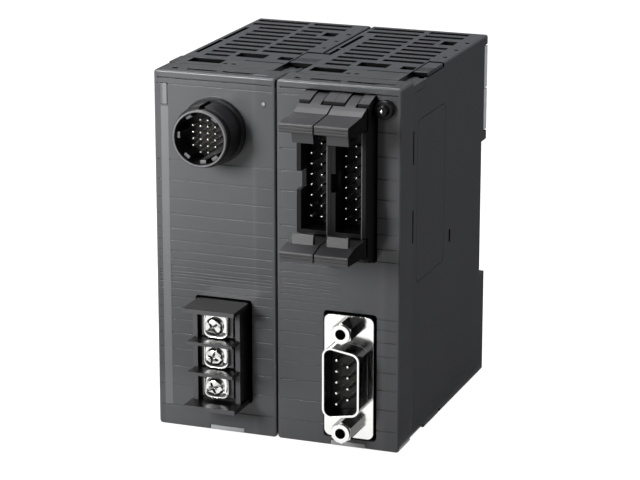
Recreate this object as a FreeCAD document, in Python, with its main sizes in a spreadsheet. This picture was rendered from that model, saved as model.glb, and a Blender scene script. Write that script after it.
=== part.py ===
import FreeCAD, Part
import os
import re

import Sketcher

# A rail-mounted controller module: two joined housings, each 31.5 mm wide, 90 mm tall and
# 68 mm deep. The left one carries a round 20-pin connector and a three-way screw terminal,
# the right one a pair of 16-pin box headers with latches and a nine-pin D connector.
#
# Every housing is drawn in its own frame: x from its left side, y back from the front face of
# its cover, z up from its base. FINAL PLACE then puts the origin of the whole at the middle of
# the seat that lies against the mounting rail, with +X to the right and +Z up.

doc = FreeCAD.newDocument("plc_module")

# ---------------------------------------------------------------- driving dimensions, mm
SIZES = [
    # housings
    ("housing_width", 31.35, "one housing, side to side"),
    ("housing_height", 90.0, "one housing, base to top"),
    ("housing_depth", 68.0, "cover face to back"),
    ("joint_gap", 0.3, "gap between the two housings"),
    ("wall", 1.6, "walls of cases and covers"),
    ("case_corner", 0.6, "rounding of the long edges of a case"),
    ("cover_depth", 9.5, "front cover, front to back"),
    ("cover_wall", 1.8, "front wall of a cover"),
    ("cover_corner", 0.8, "rounding of a cover's outline"),
    ("cover_edge", 0.5, "rounding round the cover's face"),
    ("opening_corner", 0.9, "rounding of the cover's openings"),
    ("rail_wall", 1.8, "case wall in front of the rail's seat"),
    ("fit_gap", 0.1, "clearance round a piece set in a pocket"),
    ("tab_length", 7.2, "snap tabs of the cover, over the case"),
    ("tab_thick", 3.0, "upper snap tab"),
    ("foot_tab_thick", 1.8, "lower snap tab"),
    ("seam_slit", 0.8, "slits along the side seam"),
    ("seam_slit_length", 8.1, "height of a slit"),
    ("seam_slit_down", 20.3, "upper edge to the foot of the upper slit"),
    ("seam_slit_pitch", 19.4, "between the feet of the two slits"),
    ("brow_down", 3.5, "upper edge to the lower line of the cover's brow"),
    ("brow_pitch", 1.5, "between the two lines of the brow"),
    ("foot_notch_left", 13.7, "notch in the cover's lower edge"),
    ("foot_notch_width", 9.1, "notch in the cover's lower edge"),
    ("foot_notch_height", 1.4, "notch in the cover's lower edge"),
    ("foot_notch_depth", 1.2, "notch in the cover's lower edge"),
    ("top_slot_left", 7.5, "slots in the top of the cover"),
    ("top_slot_front", 2.5, "slots in the top of the cover"),
    ("top_slot_width", 1.4, "slots in the top of the cover"),
    ("top_slot_length", 7.7, "slots in the top of the cover"),
    ("top_line_depth", 0.3, "shallow lines in the top of the cover"),
    ("top_square_left", 3.6, "small slot in the top of the cover"),
    ("top_pad_side", 2.85, "shallow field in the top of the cover, to the side"),
    ("top_pad_length", 5.3, "shallow field in the top of the cover"),
    ("top_dots_left", 13.2, "two small pockets of the upper snap tab"),
    ("top_dot", 1.1, "two small pockets of the upper snap tab"),
    ("top_pocket_left", 3.8, "pocket of the upper snap tab"),
    ("top_pocket_front", 2.0, "pocket of the upper snap tab, behind the seam"),
    ("top_pocket_length", 8.6, "pocket of the upper snap tab"),
    ("top_pocket_width", 4.6, "pocket of the upper snap tab"),
    ("top_pocket_depth", 2.0, "pocket of the upper snap tab"),
    ("strip_left", 1.75, "label strip down the left cover"),
    ("strip_width", 2.0, "label strip down the left cover"),
    ("strip_low", 5.4, "label strip down the left cover"),
    ("strip_gap", 0.5, "label strip to the light guide"),
    ("strip_thick", 0.6, "label strip down the left cover"),
    # fine grooves across the covers
    ("groove_centre", 39.3, "height of the closest grooves"),
    ("groove_step", 0.533, "first part of the spacing"),
    ("groove_growth", 0.2333, "growth of the spacing"),
    ("groove_width", 0.32, "one groove"),
    ("groove_depth", 0.25, "one groove"),
    ("groove_margin", 0.9, "plain edge beside the grooves"),
    ("label_left", 16.1, "plain label field of the right cover"),
    ("label_margin", 0.9, "D connector's opening to the label field"),
    # rail recess and catch
    ("rail_depth", 4.0, "depth of the rail recess"),
    ("rail_middle", 45.0, "base to the rail's centre line"),
    ("rail_recess", 35.6, "height of the rail recess"),
    ("rail_lip_room", 1.3, "seat to the hooks behind the rail's lip"),
    ("rail_hook", 2.0, "reach of the fixed hook and the catch"),
    ("rail_hook_inset", 4.0, "hook in from the sides of the case"),
    ("catch_width", 10.4, "neck of the sliding catch"),
    ("catch_flange", 1.5, "flange of the catch, each side"),
    ("catch_flange_thick", 1.5, "flange of the catch, front to back"),
    ("catch_flange_front", 1.0, "seat plane to the flange"),
    ("catch_lift", 1.0, "foot of the catch above the base"),
    ("catch_play", 0.15, "running clearance of the catch"),
    ("catch_grip_width", 5.0, "screwdriver slot in the catch"),
    ("catch_grip_height", 1.6, "screwdriver slot in the catch"),
    ("catch_grip_up", 4.0, "screwdriver slot above the catch's foot"),
    # back plates
    ("plate_thick", 2.4, "zinc-plated back plates"),
    ("plate_margin", 2.7, "plates to the rail recess, and to the upper edge"),
    ("plate_gap", 0.4, "between the two plates"),
    # vents on top
    ("vent_width", 2.2, "one vent slot, front to back"),
    ("vent_pitch", 4.5, "vent slots"),
    ("vent_first", 28.1, "front edge of the first long slot"),
    ("vent_left", 4.8, "left column of slots"),
    ("vent_right", 4.25, "right column of slots to the side"),
    ("vent_back", 1.7, "last slot to the back"),
    ("vent_bridge", 1.5, "between the two columns"),
    ("small_vent_first", 19.5, "front edge of the first short slot"),
    ("small_vent_length", 6.3, "a short slot"),
    ("short_vent_length", 5.7, "slots beside the square hole"),
    ("square_vent", 3.5, "square holes among the slots"),
    ("side_vent_left", 1.4, "long slots beside the columns"),
    ("side_vent_width", 1.1, "long slots beside the columns"),
    ("side_vent_front", 22.0, "long slots beside the columns"),
    ("side_vent_length", 16.2, "long slots beside the columns"),
    ("side_vent_gap", 1.0, "long slots beside the columns"),
    # joining sliders
    ("slider_groove_width", 3.9, "groove for the joining slider"),
    ("slider_groove_end", 32.0, "back end of the groove"),
    ("slider_under_gap", 0.05, "under the slider's plate"),
    ("slider_top_gap", 0.15, "slider below the housing's face"),
    ("slider_length", 11.8, "joining slider"),
    ("slider_thick", 1.0, "joining slider"),
    ("slider_play", 0.15, "running clearance of the slider"),
    ("slider_bed", 1.9, "thickening of the wall under the slider"),
    ("slider_rib", 0.35, "grip grooves of the slider"),
    ("keel_width", 1.1, "keel under the slider"),
    ("keel_depth", 1.2, "keel under the slider"),
    ("keel_length", 4.0, "keel under the slider"),
    ("keel_inset", 0.9, "keel in from the housing's side"),
    ("keel_travel", 9.4, "slot in front of the keel"),
    ("slider_end_gap", 0.8, "slider to the groove's end, at rest"),
    ("slider_reach", 2.2, "slider over the neighbouring housing"),
    # bus opening, cover and connectors
    ("bus_cover_front", 12.0, "side cover of the bus opening"),
    ("bus_cover_length", 21.3, "side cover of the bus opening"),
    ("bus_cover_down", 10.3, "upper edge to the side cover"),
    ("bus_cover_height", 40.1, "side cover of the bus opening"),
    ("bus_cover_thick", 1.0, "side cover of the bus opening"),
    ("bus_cover_corner", 2.0, "side cover of the bus opening"),
    ("bus_down", 30.0, "upper edge to the middle of the bus connectors"),
    ("bus_front", 18.0, "front of the bus plug"),
    ("bus_thick", 9.0, "bus plug, front to back"),
    ("bus_height", 24.0, "bus plug"),
    ("bus_reach", 2.0, "plug past the housing's side"),
    ("bus_socket_wall", 1.6, "wall of the bus socket"),
    ("side_slot_y", 37.4, "small slot in the case's side"),
    ("side_slot_low", 43.0, "small slot in the case's side"),
    ("side_slot_height", 3.3, "small slot in the case's side"),
    ("side_slot_width", 1.2, "small slot in the case's side"),
    # boards
    ("board_thick", 1.6, "circuit boards"),
    ("front_board_y", 9.0, "front face of the front board"),
    ("main_board_x", 4.0, "left face of the main board"),
    ("side_board_side", 7.6, "left face of the side board to the right side"),
    ("board_gap", 0.1, "board edge to the wall"),
    # round connector
    ("round_side", 15.6, "centre of the round connector to the right side"),
    ("round_down", 13.8, "upper edge to the centre of the round connector"),
    ("round_boss_step", 0.65, "boss past the tube"),
    ("round_boss_height", 1.5, "boss on the cover"),
    ("round_wall", 1.15, "wall of the tube"),
    ("round_rim_wall", 0.6, "wall of the rim at the mouth"),
    ("round_rim_length", 2.2, "rim at the mouth"),
    ("round_bore", 6.35, "radius inside the tube"),
    ("round_length", 9.5, "tube in front of the cover"),
    ("round_key_width", 1.4, "slot on top of the tube"),
    ("round_key_depth", 0.5, "slot on top of the tube"),
    ("round_insert_face", 2.6, "face of the insert, in front of the cover"),
    ("round_pin_radius", 0.36, "contact pins"),
    ("round_pin_tip", 6.4, "pin tips, in front of the cover"),
    ("round_column", 1.9, "between columns of pins"),
    ("round_long_pitch", 1.57, "pins of the two inner columns"),
    ("round_short_pitch", 1.63, "pins of the two outer columns"),
    ("round_block_radial", 0.9, "key blocks inside the tube"),
    ("round_block_width", 1.7, "key blocks inside the tube"),
    ("round_block_tip", 8.3, "key blocks, in front of the cover"),
    ("round_nut_wall", 1.4, "nut behind the cover, past the tube"),
    ("round_nut_thick", 2.4, "nut behind the cover"),
    # screw terminal
    ("terminal_side", 13.45, "centre of the screw terminal to the right side"),
    ("terminal_width", 12.3, "block of the screw terminal"),
    ("terminal_low", 8.4, "foot of the block"),
    ("terminal_top", 5.05, "block above the highest screw"),
    ("terminal_face", 3.8, "bay floor, in front of the cover"),
    ("terminal_post", 1.2, "posts beside the bays"),
    ("terminal_post_reach", 5.4, "posts, in front of the cover"),
    ("terminal_hood_side", 0.55, "hood and foot shelf past the block, each side"),
    ("terminal_hood_thick", 1.1, "hood over the block and shelf at its foot"),
    ("terminal_hood_reach", 10.5, "hood and foot shelf, in front of the cover"),
    ("terminal_fin_in", 0.25, "fins in from the block's sides"),
    ("terminal_fin_thick", 0.8, "fins between the bays"),
    ("terminal_fin_reach", 9.8, "fins, in front of the cover"),
    ("terminal_pitch", 7.7, "between the screws"),
    ("terminal_foot", 5.3, "block below the lowest screw"),
    ("terminal_room_left", 1.55, "opening of the cover beside the block"),
    ("terminal_room_right", 1.05, "opening of the cover beside the block"),
    ("terminal_room_ends", 0.35, "opening of the cover past the block's ends"),
    ("tab_plate", 0.8, "contact plates in the bays"),
    ("tab_plate_width", 8.2, "contact plates in the bays"),
    ("tab_plate_height", 6.2, "contact plates in the bays"),
    ("washer_room", 0.25, "washer to the fins"),
    ("washer_thick", 0.8, "square washers"),
    ("washer_lift", 0.6, "room for a wire under the washer"),
    ("screw_head", 2.3, "radius of a terminal screw's head"),
    ("screw_head_thick", 1.9, "terminal screw"),
    ("screw_shank", 1.5, "radius of the M3 shank"),
    ("screw_length", 7.0, "shank below the head"),
    ("screw_play", 0.1, "radial clearance of the shank"),
    ("cross_width", 0.75, "cross slot of the screws"),
    ("cross_length", 2.9, "cross slot of the screws"),
    ("cross_depth", 1.0, "cross slot of the screws"),
    # box headers
    ("header_x", 16.4, "middle of the pair of headers"),
    ("header_down", 22.25, "upper edge to the headers' middle height"),
    ("header_gap", 0.05, "between the two headers"),
    ("header_width", 8.6, "one header"),
    ("header_half", 12.8, "half height of a shroud"),
    ("header_reach", 6.8, "shroud, in front of the cover"),
    ("header_end_wall", 1.0, "end walls of a shroud"),
    ("header_side_wall", 1.1, "side walls of a shroud"),
    ("header_floor", 0.6, "cavity floor, behind the cover's face"),
    ("header_notch", 4.5, "polarity notch in the left wall"),
    ("header_notch_depth", 3.6, "polarity notch in the left wall"),
    ("header_tower_front", 4.3, "towers, behind the cover's face"),
    ("header_rows", 8, "rows of pins"),
    ("header_pin_pitch", 2.54, "pins"),
    ("header_pin", 0.64, "square pins"),
    ("header_pin_tip", 5.0, "pin tips, in front of the cover"),
    ("pin_fit", 0.02, "clearance round a pin in its block"),
    ("header_room", 0.475, "opening of the cover beside the headers"),
    ("header_end_room", 0.15, "opening of the cover past the towers"),
    # latches, measured from their pivot
    ("latch_side_gap", 0.15, "latch in from the header's sides"),
    ("latch_pivot_y", 0.5, "pivot, behind the cover's face"),
    ("latch_clear", 0.35, "heel to the shroud, and to the towers' ends"),
    ("latch_heel", 3.4, "radius of the heel round the pivot"),
    ("latch_shelf_y", 9.5, "inner end of the thumb shelf"),
    ("latch_shelf_up", 0.45, "top of the thumb shelf, out from the pivot"),
    ("latch_tip_y", 18.6, "tip, in front of the cover"),
    ("latch_tip_drop", 0.15, "top of the lip, in from the pivot"),
    ("latch_lip", 2.1, "height of the lip"),
    ("latch_under_drop", 3.4, "underside of the arm, in from the pivot"),
    ("latch_rounding", 0.3, "rounding of a latch's long edges"),
    ("claw_width", 5.3, "claw under the lip"),
    ("claw_drop", 5.65, "tip of the claw, in from the pivot"),
    ("claw_face", 13.0, "gripping face, in front of the cover"),
    ("claw_tip", 1.0, "depth of the claw's tip"),
    ("claw_lean", 0.6, "the claw is deeper at its root"),
    ("cheek_inner", 1.6, "from a header's middle to the cheeks that carry a latch"),
    ("cheek_rise", 0.2, "back of the cheeks, out from the back of the latch"),
    ("cheek_run", 0.55, "share of the latch's back that the cheeks follow"),
    ("latch_neck_play", 0.3, "latch's neck to a cheek"),
    ("latch_neck_reach", 6.0, "neck, in front of the cover"),
    ("trunnion", 0.85, "radius of the latch's trunnion"),
    ("trunnion_play", 0.08, "radial clearance of the trunnion"),
    ("lip_groove", 0.2, "fine grooves along the lip"),
    # nine-pin D connector
    ("dsub_x", 18.6, "centre of the D connector"),
    ("dsub_low", 2.7, "foot of the flange"),
    ("flange_width", 12.55, "flange"),
    ("flange_height", 30.8, "flange"),
    ("flange_corner", 1.6, "flange"),
    ("flange_front", 0.3, "flange face, in front of the cover"),
    ("sheet", 0.5, "sheet metal of the shell"),
    ("dsub_reach", 5.9, "shell in front of the flange"),
    ("jack_clear", 3.295, "jack screw's centre to the shell's long side"),
    ("dsub_slant", 1.45, "shell's short side in from its long side, each end"),
    ("dsub_half_width", 4.7, "half width of the shell"),
    ("dsub_corner", 2.2, "corners of the shell"),
    ("dsub_pin_pitch", 2.77, "contact pins"),
    ("dsub_row", 1.42, "pin rows from the centre"),
    ("dsub_pin_radius", 0.5, "contact pins"),
    ("dsub_pin_tip", 5.2, "pin tips, in front of the cover"),
    ("dsub_insert_rise", 0.3, "face of the insert in front of the flange's"),
    ("dsub_room_left", 0.325, "opening of the cover beside the flange"),
    ("dsub_room_right", 0.725, "opening of the cover beside the flange"),
    ("dsub_room_low", 0.5, "opening of the cover below the flange"),
    ("dsub_room_high", 0.8, "opening of the cover above the flange"),
    ("jack_inset", 2.905, "jack screws in from the flange's ends"),
    ("jack_across", 4.8, "across the flats"),
    ("jack_collar", 0.6, "round front of a jack screw"),
    ("jack_collar_inset", 0.1, "round front in from the flats"),
    ("jack_reach", 6.0, "jack screw in front of the flange"),
    ("jack_bore", 1.3, "radius of the UNC 4-40 thread"),
    ("jack_bore_depth", 5.0, "threaded depth"),
    ("jack_shank", 1.5, "radius of the shank behind the flange"),
    # indicators
    ("guide_gap", 0.15, "light guide to the cover's side wall"),
    ("guide_width", 1.7, "light guide in the left cover"),
    ("guide_down", 8.3, "upper edge to the foot of the light guide"),
    ("guide_height", 5.1, "light guide in the left cover"),
    ("guide_proud", 0.15, "light guide in front of the cover"),
    ("lens_side", 3.05, "indicator lens to the right side"),
    ("lens_down", 6.5, "upper edge to the indicator lens"),
    ("lens_radius", 0.7, "indicator lens in the left cover"),
    ("lamp", 1.6, "light-emitting diodes on the front board"),
    ("lamp_height", 1.0, "light-emitting diodes on the front board"),
    # parts on the boards
    ("chip_height", 2.0, "integrated circuits"),
    ("chip_size", 11.0, "integrated circuits"),
    ("chip_front", 20.0, "front edge of the first chips"),
    ("chip_pitch", 16.0, "between chips, front to back"),
    ("chip_low", 50.0, "foot of the lower chips"),
    ("chip_rise", 14.0, "between the chips' feet"),
    ("capacitor_radius", 4.0, "capacitors"),
    ("capacitor_length", 12.0, "capacitors"),
    ("capacitor_front", 20.0, "centre of the first capacitor"),
    ("capacitor_up", 16.0, "centres of the capacitors"),
    ("capacitor_gap", 3.0, "between the capacitors"),
    ("core_width", 11.0, "transformer core, off the board"),
    ("core_size", 15.0, "transformer core, front to back and height"),
    ("core_front", 30.0, "front of the transformer core"),
    ("core_low", 30.0, "foot of the transformer core"),
    ("coil_radius", 5.2, "transformer winding"),
    ("coil_lip", 1.2, "winding past the core"),
]

sizes = doc.addObject("Spreadsheet::Sheet", "sizes")
for row, (alias, value, note) in enumerate(SIZES, start=1):
    sizes.set(f"A{row}", alias)
    sizes.set(f"B{row}", str(value))
    sizes.set(f"C{row}", note)
    sizes.setAlias(f"B{row}", alias)
doc.recompute()

ALIASES = {row[0] for row in SIZES}
nodes = []

# sizes and places that follow from the sheet
PLACES = {
    "rail_seat": "housing_depth - rail_depth",
    "rail_low": "rail_middle - rail_recess / 2",
    "rail_high": "rail_middle + rail_recess / 2",
    "case_bay_back": "rail_seat - rail_wall",
    "plate_low": "rail_high + plate_margin",
    "plate_height": "(housing_height - plate_margin - plate_low - plate_gap) / 2",
    "vent_length": "(housing_width - vent_left - vent_bridge - vent_right) / 2",
    "slider_groove_depth": "slider_top_gap + slider_thick + slider_under_gap",
    "slider_back": "slider_groove_end - slider_end_gap",
    "slider_front": "slider_back - slider_length",
    "keel_slot_front": "slider_back - keel_length - keel_travel",
    "bus_cover_back": "bus_cover_front + bus_cover_length",
    "bus_cover_high": "housing_height - bus_cover_down",
    "bus_cover_low": "bus_cover_high - bus_cover_height",
    "bus_middle": "housing_height - bus_down",
    "side_board_x": "housing_width - side_board_side",
    "brow_low": "housing_height - brow_down",
    "brow_high": "brow_low + brow_pitch",
    "seam_slit_upper": "housing_height - seam_slit_down",
    "seam_slit_lower": "seam_slit_upper - seam_slit_pitch",
    "top_pad_left": "housing_width - top_pad_side - top_pad_length",
    "label_low": "dsub_opening_high + label_margin",
    "label_high": "header_opening_low - fit_gap",
    "guide_left": "wall + guide_gap",
    "guide_low": "housing_height - guide_down",
    "strip_high": "guide_low - strip_gap",
    "lens_x": "housing_width - lens_side",
    "lens_z": "housing_height - lens_down",
    "round_x": "housing_width - round_side",
    "round_z": "housing_height - round_down",
    "round_rim": "round_bore + round_rim_wall",
    "round_outer": "round_bore + round_wall",
    "round_boss": "round_outer + round_boss_step",
    "round_nut": "round_outer + round_nut_wall",
    "terminal_x": "housing_width - terminal_side",
    "terminal_left": "terminal_x - terminal_width / 2",
    "terminal_right": "terminal_x + terminal_width / 2",
    "terminal_screw_low": "terminal_low + terminal_foot",
    "terminal_high": "terminal_screw_low + 2 * terminal_pitch + terminal_top",
    "terminal_hood_width": "terminal_width + 2 * terminal_hood_side",
    "terminal_opening_left": "terminal_left - terminal_room_left",
    "terminal_opening_right": "terminal_right + terminal_room_right",
    "terminal_opening_low": "terminal_low - terminal_room_ends",
    "terminal_opening_high": "terminal_high + terminal_room_ends",
    "washer_size": "terminal_pitch - terminal_fin_thick - 2 * washer_room",
    "plate_face": "-terminal_face - tab_plate",
    "washer_face": "plate_face - washer_lift - washer_thick",
    "header_z": "housing_height - header_down",
    "header_pitch": "header_width + header_gap",
    "header_cavity_width": "header_width - 2 * header_side_wall",
    "header_cavity_half": "header_half - header_end_wall",
    "header_tower_half": "latch_pivot_z + latch_heel + latch_clear",
    "header_opening_left": "header_x - header_pitch / 2 - header_width / 2 - header_room",
    "header_opening_right": "header_x + header_pitch / 2 + header_width / 2 + header_room",
    "header_opening_low": "header_z - header_tower_half - header_end_room",
    "header_opening_high": "header_z + header_tower_half + header_end_room",
    "latch_width": "header_width - 2 * latch_side_gap",
    "latch_pivot_z": "header_half + latch_heel + latch_clear",
    "latch_run": "latch_shelf_y + latch_pivot_y",
    "latch_tip_z": "latch_pivot_z - latch_tip_drop",
    "latch_under": "latch_pivot_z - latch_under_drop",
    "claw_low": "latch_pivot_z - claw_drop",
    "dsub_z": "dsub_low + flange_height / 2",
    "jack_spacing": "flange_height - 2 * jack_inset",
    "dsub_wide_half": "flange_height / 2 - jack_inset - jack_clear",
    "dsub_narrow_half": "dsub_wide_half - dsub_slant",
    "dsub_opening_left": "dsub_x - flange_width / 2 - dsub_room_left",
    "dsub_opening_right": "dsub_x + flange_width / 2 + dsub_room_right",
    "dsub_opening_low": "dsub_z - flange_height / 2 - dsub_room_low",
    "dsub_opening_high": "dsub_z + flange_height / 2 + dsub_room_high",
}


# ---------------------------------------------------------------- building blocks
def formula(text):
    """The text as an expression, with each size read from the sheet."""
    def in_sheet(word):
        name = word.group()
        if name in PLACES:
            return f"({formula(PLACES[name])})"
        return f"sizes.{name}" if name in ALIASES else name
    return re.sub(r"[a-z_]\w*", in_sheet, str(text))


def box(name, x, y, z):
    """A block that runs between the two ends given along each axis."""
    block = doc.addObject("Part::Box", name)
    for side, axis, (low, high) in (("Length", "x", x), ("Width", "y", y), ("Height", "z", z)):
        block.setExpression(side, formula(f"({high}) - ({low})"))
        block.setExpression(f"Placement.Base.{axis}", formula(low))
    return block


TURNS = {"x": FreeCAD.Rotation(FreeCAD.Vector(0, 1, 0), 90),
         "y": FreeCAD.Rotation(FreeCAD.Vector(1, 0, 0), -90),
         "z": FreeCAD.Rotation()}


def rod(name, along, centre, ends, radius):
    """A round bar along one axis; centre gives its place on the other two, in x, y, z order."""
    bar = doc.addObject("Part::Cylinder", name)
    bar.Placement.Rotation = TURNS[along]
    bar.setExpression("Radius", formula(radius))
    bar.setExpression("Height", formula(f"({ends[1]}) - ({ends[0]})"))
    bar.setExpression(f"Placement.Base.{along}", formula(ends[0]))
    for axis, place in zip([a for a in "xyz" if a != along], centre):
        bar.setExpression(f"Placement.Base.{axis}", formula(place))
    return bar


def tip(name, centre, ends, radii):
    """A short cone along y, from its first radius at the first end to its second."""
    cone = doc.addObject("Part::Cone", name)
    cone.Placement.Rotation = TURNS["y"]
    cone.setExpression("Radius1", formula(radii[0]))
    cone.setExpression("Radius2", formula(radii[1]))
    cone.setExpression("Height", formula(f"({ends[1]}) - ({ends[0]})"))
    cone.setExpression("Placement.Base.y", formula(ends[0]))
    cone.setExpression("Placement.Base.x", formula(centre[0]))
    cone.setExpression("Placement.Base.z", formula(centre[1]))
    return cone


START_RING = 10.0                           # where an outline's points lie until they are bound


def origin_plane(body, role):
    return next(f for f in body.Origin.OriginFeatures if f.Role == role)


def profile(name, role, points, ends, corner=None, face_edge=None):
    """A body padded from an outline on one of its own planes.

    XZ_Plane outlines are (x, z) and run from the first y to the second; YZ_Plane outlines are
    (y, z) and run from the first x to the second. corner rounds the edges along the pad, and
    face_edge those round the pad's front face.
    """
    body = doc.addObject("PartDesign::Body", name)
    sketch = body.newObject("Sketcher::SketchObject", f"{name}_outline")
    sketch.AttachmentSupport = [(origin_plane(body, role), "")]
    sketch.MapMode = "FlatFace"
    count = len(points)
    reach = FreeCAD.Vector(START_RING, 0, 0)
    for k in range(count):
        # places to start from, which the constraints then replace
        angle = FreeCAD.Rotation(FreeCAD.Vector(0, 0, 1), 360.0 * k / count)
        after = FreeCAD.Rotation(FreeCAD.Vector(0, 0, 1), 360.0 * (k + 1) / count)
        sketch.addGeometry(Part.LineSegment(angle.multVec(reach), after.multVec(reach)), False)
    for k in range(count):
        sketch.addConstraint(Sketcher.Constraint("Coincident", k, 2, (k + 1) % count, 1))
    for k, (u, v) in enumerate(points):
        for kind, place in (("DistanceX", u), ("DistanceY", v)):
            index = sketch.addConstraint(Sketcher.Constraint(kind, -1, 1, k, 1, 1.0))
            sketch.setExpression(f"Constraints[{index}]", formula(place))
    # the XZ plane faces -Y, so its outlines start at the far y and are padded forwards
    backwards = role == "XZ_Plane"
    start = f"-({ends[1]})" if backwards else ends[0]
    sketch.setExpression("AttachmentOffset.Base.z", formula(start))
    pad = body.newObject("PartDesign::Pad", f"{name}_pad")
    pad.Profile = sketch
    pad.setExpression("Length", formula(f"({ends[1]}) - ({ends[0]})"))
    doc.recompute()
    along = FreeCAD.Vector(0, 1, 0) if backwards else FreeCAD.Vector(1, 0, 0)
    if corner is not None:
        runs = [f"Edge{i + 1}" for i, edge in enumerate(pad.Shape.Edges)
                if abs(edge.tangentAt(edge.FirstParameter).dot(along)) > 0.999]
        rounding = body.newObject("PartDesign::Fillet", f"{name}_corners")
        rounding.Base = (pad, runs)
        rounding.setExpression("Radius", formula(corner))
        doc.recompute()
    if face_edge is not None:
        last = body.Tip
        front = last.Shape.BoundBox.YMin
        rim = [f"Edge{i + 1}" for i, edge in enumerate(last.Shape.Edges)
               if edge.BoundBox.YMax - front < 1e-4]
        rounding = body.newObject("PartDesign::Fillet", f"{name}_face_edge")
        rounding.Base = (last, rim)
        rounding.setExpression("Radius", formula(face_edge))
        doc.recompute()
    return body


def rectangle(x, z):
    return [(x[0], z[0]), (x[1], z[0]), (x[1], z[1]), (x[0], z[1])]


def fuse(name, pieces):
    joined = doc.addObject("Part::MultiFuse", name)
    joined.Shapes = pieces
    joined.Refine = True
    return joined


def cut(name, base, tools):
    carved = doc.addObject("Part::Cut", name)
    carved.Base = base
    carved.Tool = tools[0] if len(tools) == 1 else fuse(f"{name}_tools", tools)
    carved.Refine = True
    return carved


def group(name, pieces):
    """Separate solids that share one sub-part."""
    held = doc.addObject("Part::Compound", name)
    held.Links = pieces
    return held


# FINAL PLACE: how far each housing's own frame lies from the origin of the whole
HOUSING_X = {"left": "-housing_width - joint_gap / 2", "right": "joint_gap / 2"}


def node(label, piece, side):
    """Keeps a piece as a sub-part of the left or the right housing."""
    piece.Label = label
    piece.setExpression("Placement.Base.x", formula(HOUSING_X[side]))
    piece.setExpression("Placement.Base.y", formula("-rail_seat"))
    piece.setExpression("Placement.Base.z", formula("-rail_middle"))
    nodes.append(piece)


# ---------------------------------------------------------------- shared places
W = "housing_width"
H = "housing_height"
PAST = 1.0                                  # how far a cutting block stands out of a face
INNER_X = ("wall", f"{W} - wall")
INNER_Z = ("wall", f"{H} - wall")
BUS_Z = ("bus_middle - bus_height / 2", "bus_middle + bus_height / 2")
BUS_Y = ("bus_front", "bus_front + bus_thick")


def grown(ends, by):
    return (f"{ends[0]} - ({by})", f"{ends[1]} + ({by})")


# ---------------------------------------------------------------- rear cases
def vent_slots(side):
    """Slots through the top of a case: two columns, short ones in front and long side ones."""
    top = (f"{H} - wall - {PAST}", f"{H} + {PAST}")
    second = "vent_left + vent_length + vent_bridge"
    room = float(sizes.housing_depth - sizes.vent_back - sizes.vent_width - sizes.vent_first)
    rows = int(room / float(sizes.vent_pitch) + PAST / 10) + 1
    long_rows = rows - 4
    slots = []
    for k in range(rows):
        y = (f"vent_first + {k} * vent_pitch", f"vent_first + {k} * vent_pitch + vent_width")
        # of the last four rows, two stop short at a square hole and two start further left
        left = "vent_left" if k < long_rows + 2 else "side_vent_left"
        length = "short_vent_length" if long_rows <= k < long_rows + 2 else "vent_length"
        slots.append(box(f"{side}_vent_a{k}", (left, "vent_left + vent_length"), y, top))
        slots.append(box(f"{side}_vent_b{k}", (second, f"{second} + {length}"), y, top))
    hole = f"{second} + vent_length - square_vent"
    row = f"vent_first + {long_rows} * vent_pitch + vent_width / 2"
    slots.append(box(f"{side}_vent_square", (hole, f"{hole} + square_vent"),
                     (row, f"{row} + vent_pitch"), top))
    front = "small_vent_first + vent_width / 2"
    slots.append(box(f"{side}_vent_wide", ("vent_left + small_vent_length + vent_bridge",
                                           f"{second} + square_vent"),
                     (front, f"{front} + vent_pitch"), top))
    slots.append(box(f"{side}_vent_small", (hole, f"{hole} + square_vent"),
                     (front, f"{front} + square_vent"), top))
    line = "cover_depth + tab_length + fit_gap"
    slots.append(box(f"{side}_vent_line", (second, f"{second} + vent_length"),
                     (f"{line} - {PAST}", f"{line} + side_vent_width / 2"), top))
    for k in range(3):
        y = f"vent_first + (2 * {k} + 2) * vent_pitch"
        slots.append(box(f"{side}_vent_edge{k}",
                         (f"{W} - 2 * side_vent_width", f"{W} - side_vent_width"),
                         (y, f"{y} + side_vent_width"), top))
    for k in range(2):
        y = (f"small_vent_first + {k} * vent_pitch",
             f"small_vent_first + {k} * vent_pitch + vent_width")
        x = ("vent_left", "vent_left + small_vent_length")
        slots.append(box(f"{side}_vent_c{k}", x, y, top))
    x = ("side_vent_left", "side_vent_left + side_vent_width")
    for k in range(2):
        start = f"side_vent_front + {k} * (side_vent_length + side_vent_gap)"
        slots.append(box(f"{side}_vent_d{k}", x, (start, f"{start} + side_vent_length"), top))
    return slots


def slider_ways(name, edge, above):
    """The groove of a joining slider at the right (1) or left (-1) edge, on top or below."""
    outer = H if above else "0"
    inward = "-" if above else "+"
    z = sorted_ends(f"{outer} {inward} slider_groove_depth", outer, above)
    if edge > 0:
        x = (f"{W} - slider_groove_width", f"{W} + {PAST}")
    else:
        x = (f"-{PAST}", "slider_reach + slider_play")
    return box(name, x, (f"cover_depth - {PAST}", "slider_groove_end"), z)


def sorted_ends(inner, outer, above):
    """Ends of a cut from an inner height out past the top, or past the base."""
    return (inner, f"{outer} + {PAST}") if above else (f"{outer} - {PAST}", inner)


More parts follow.
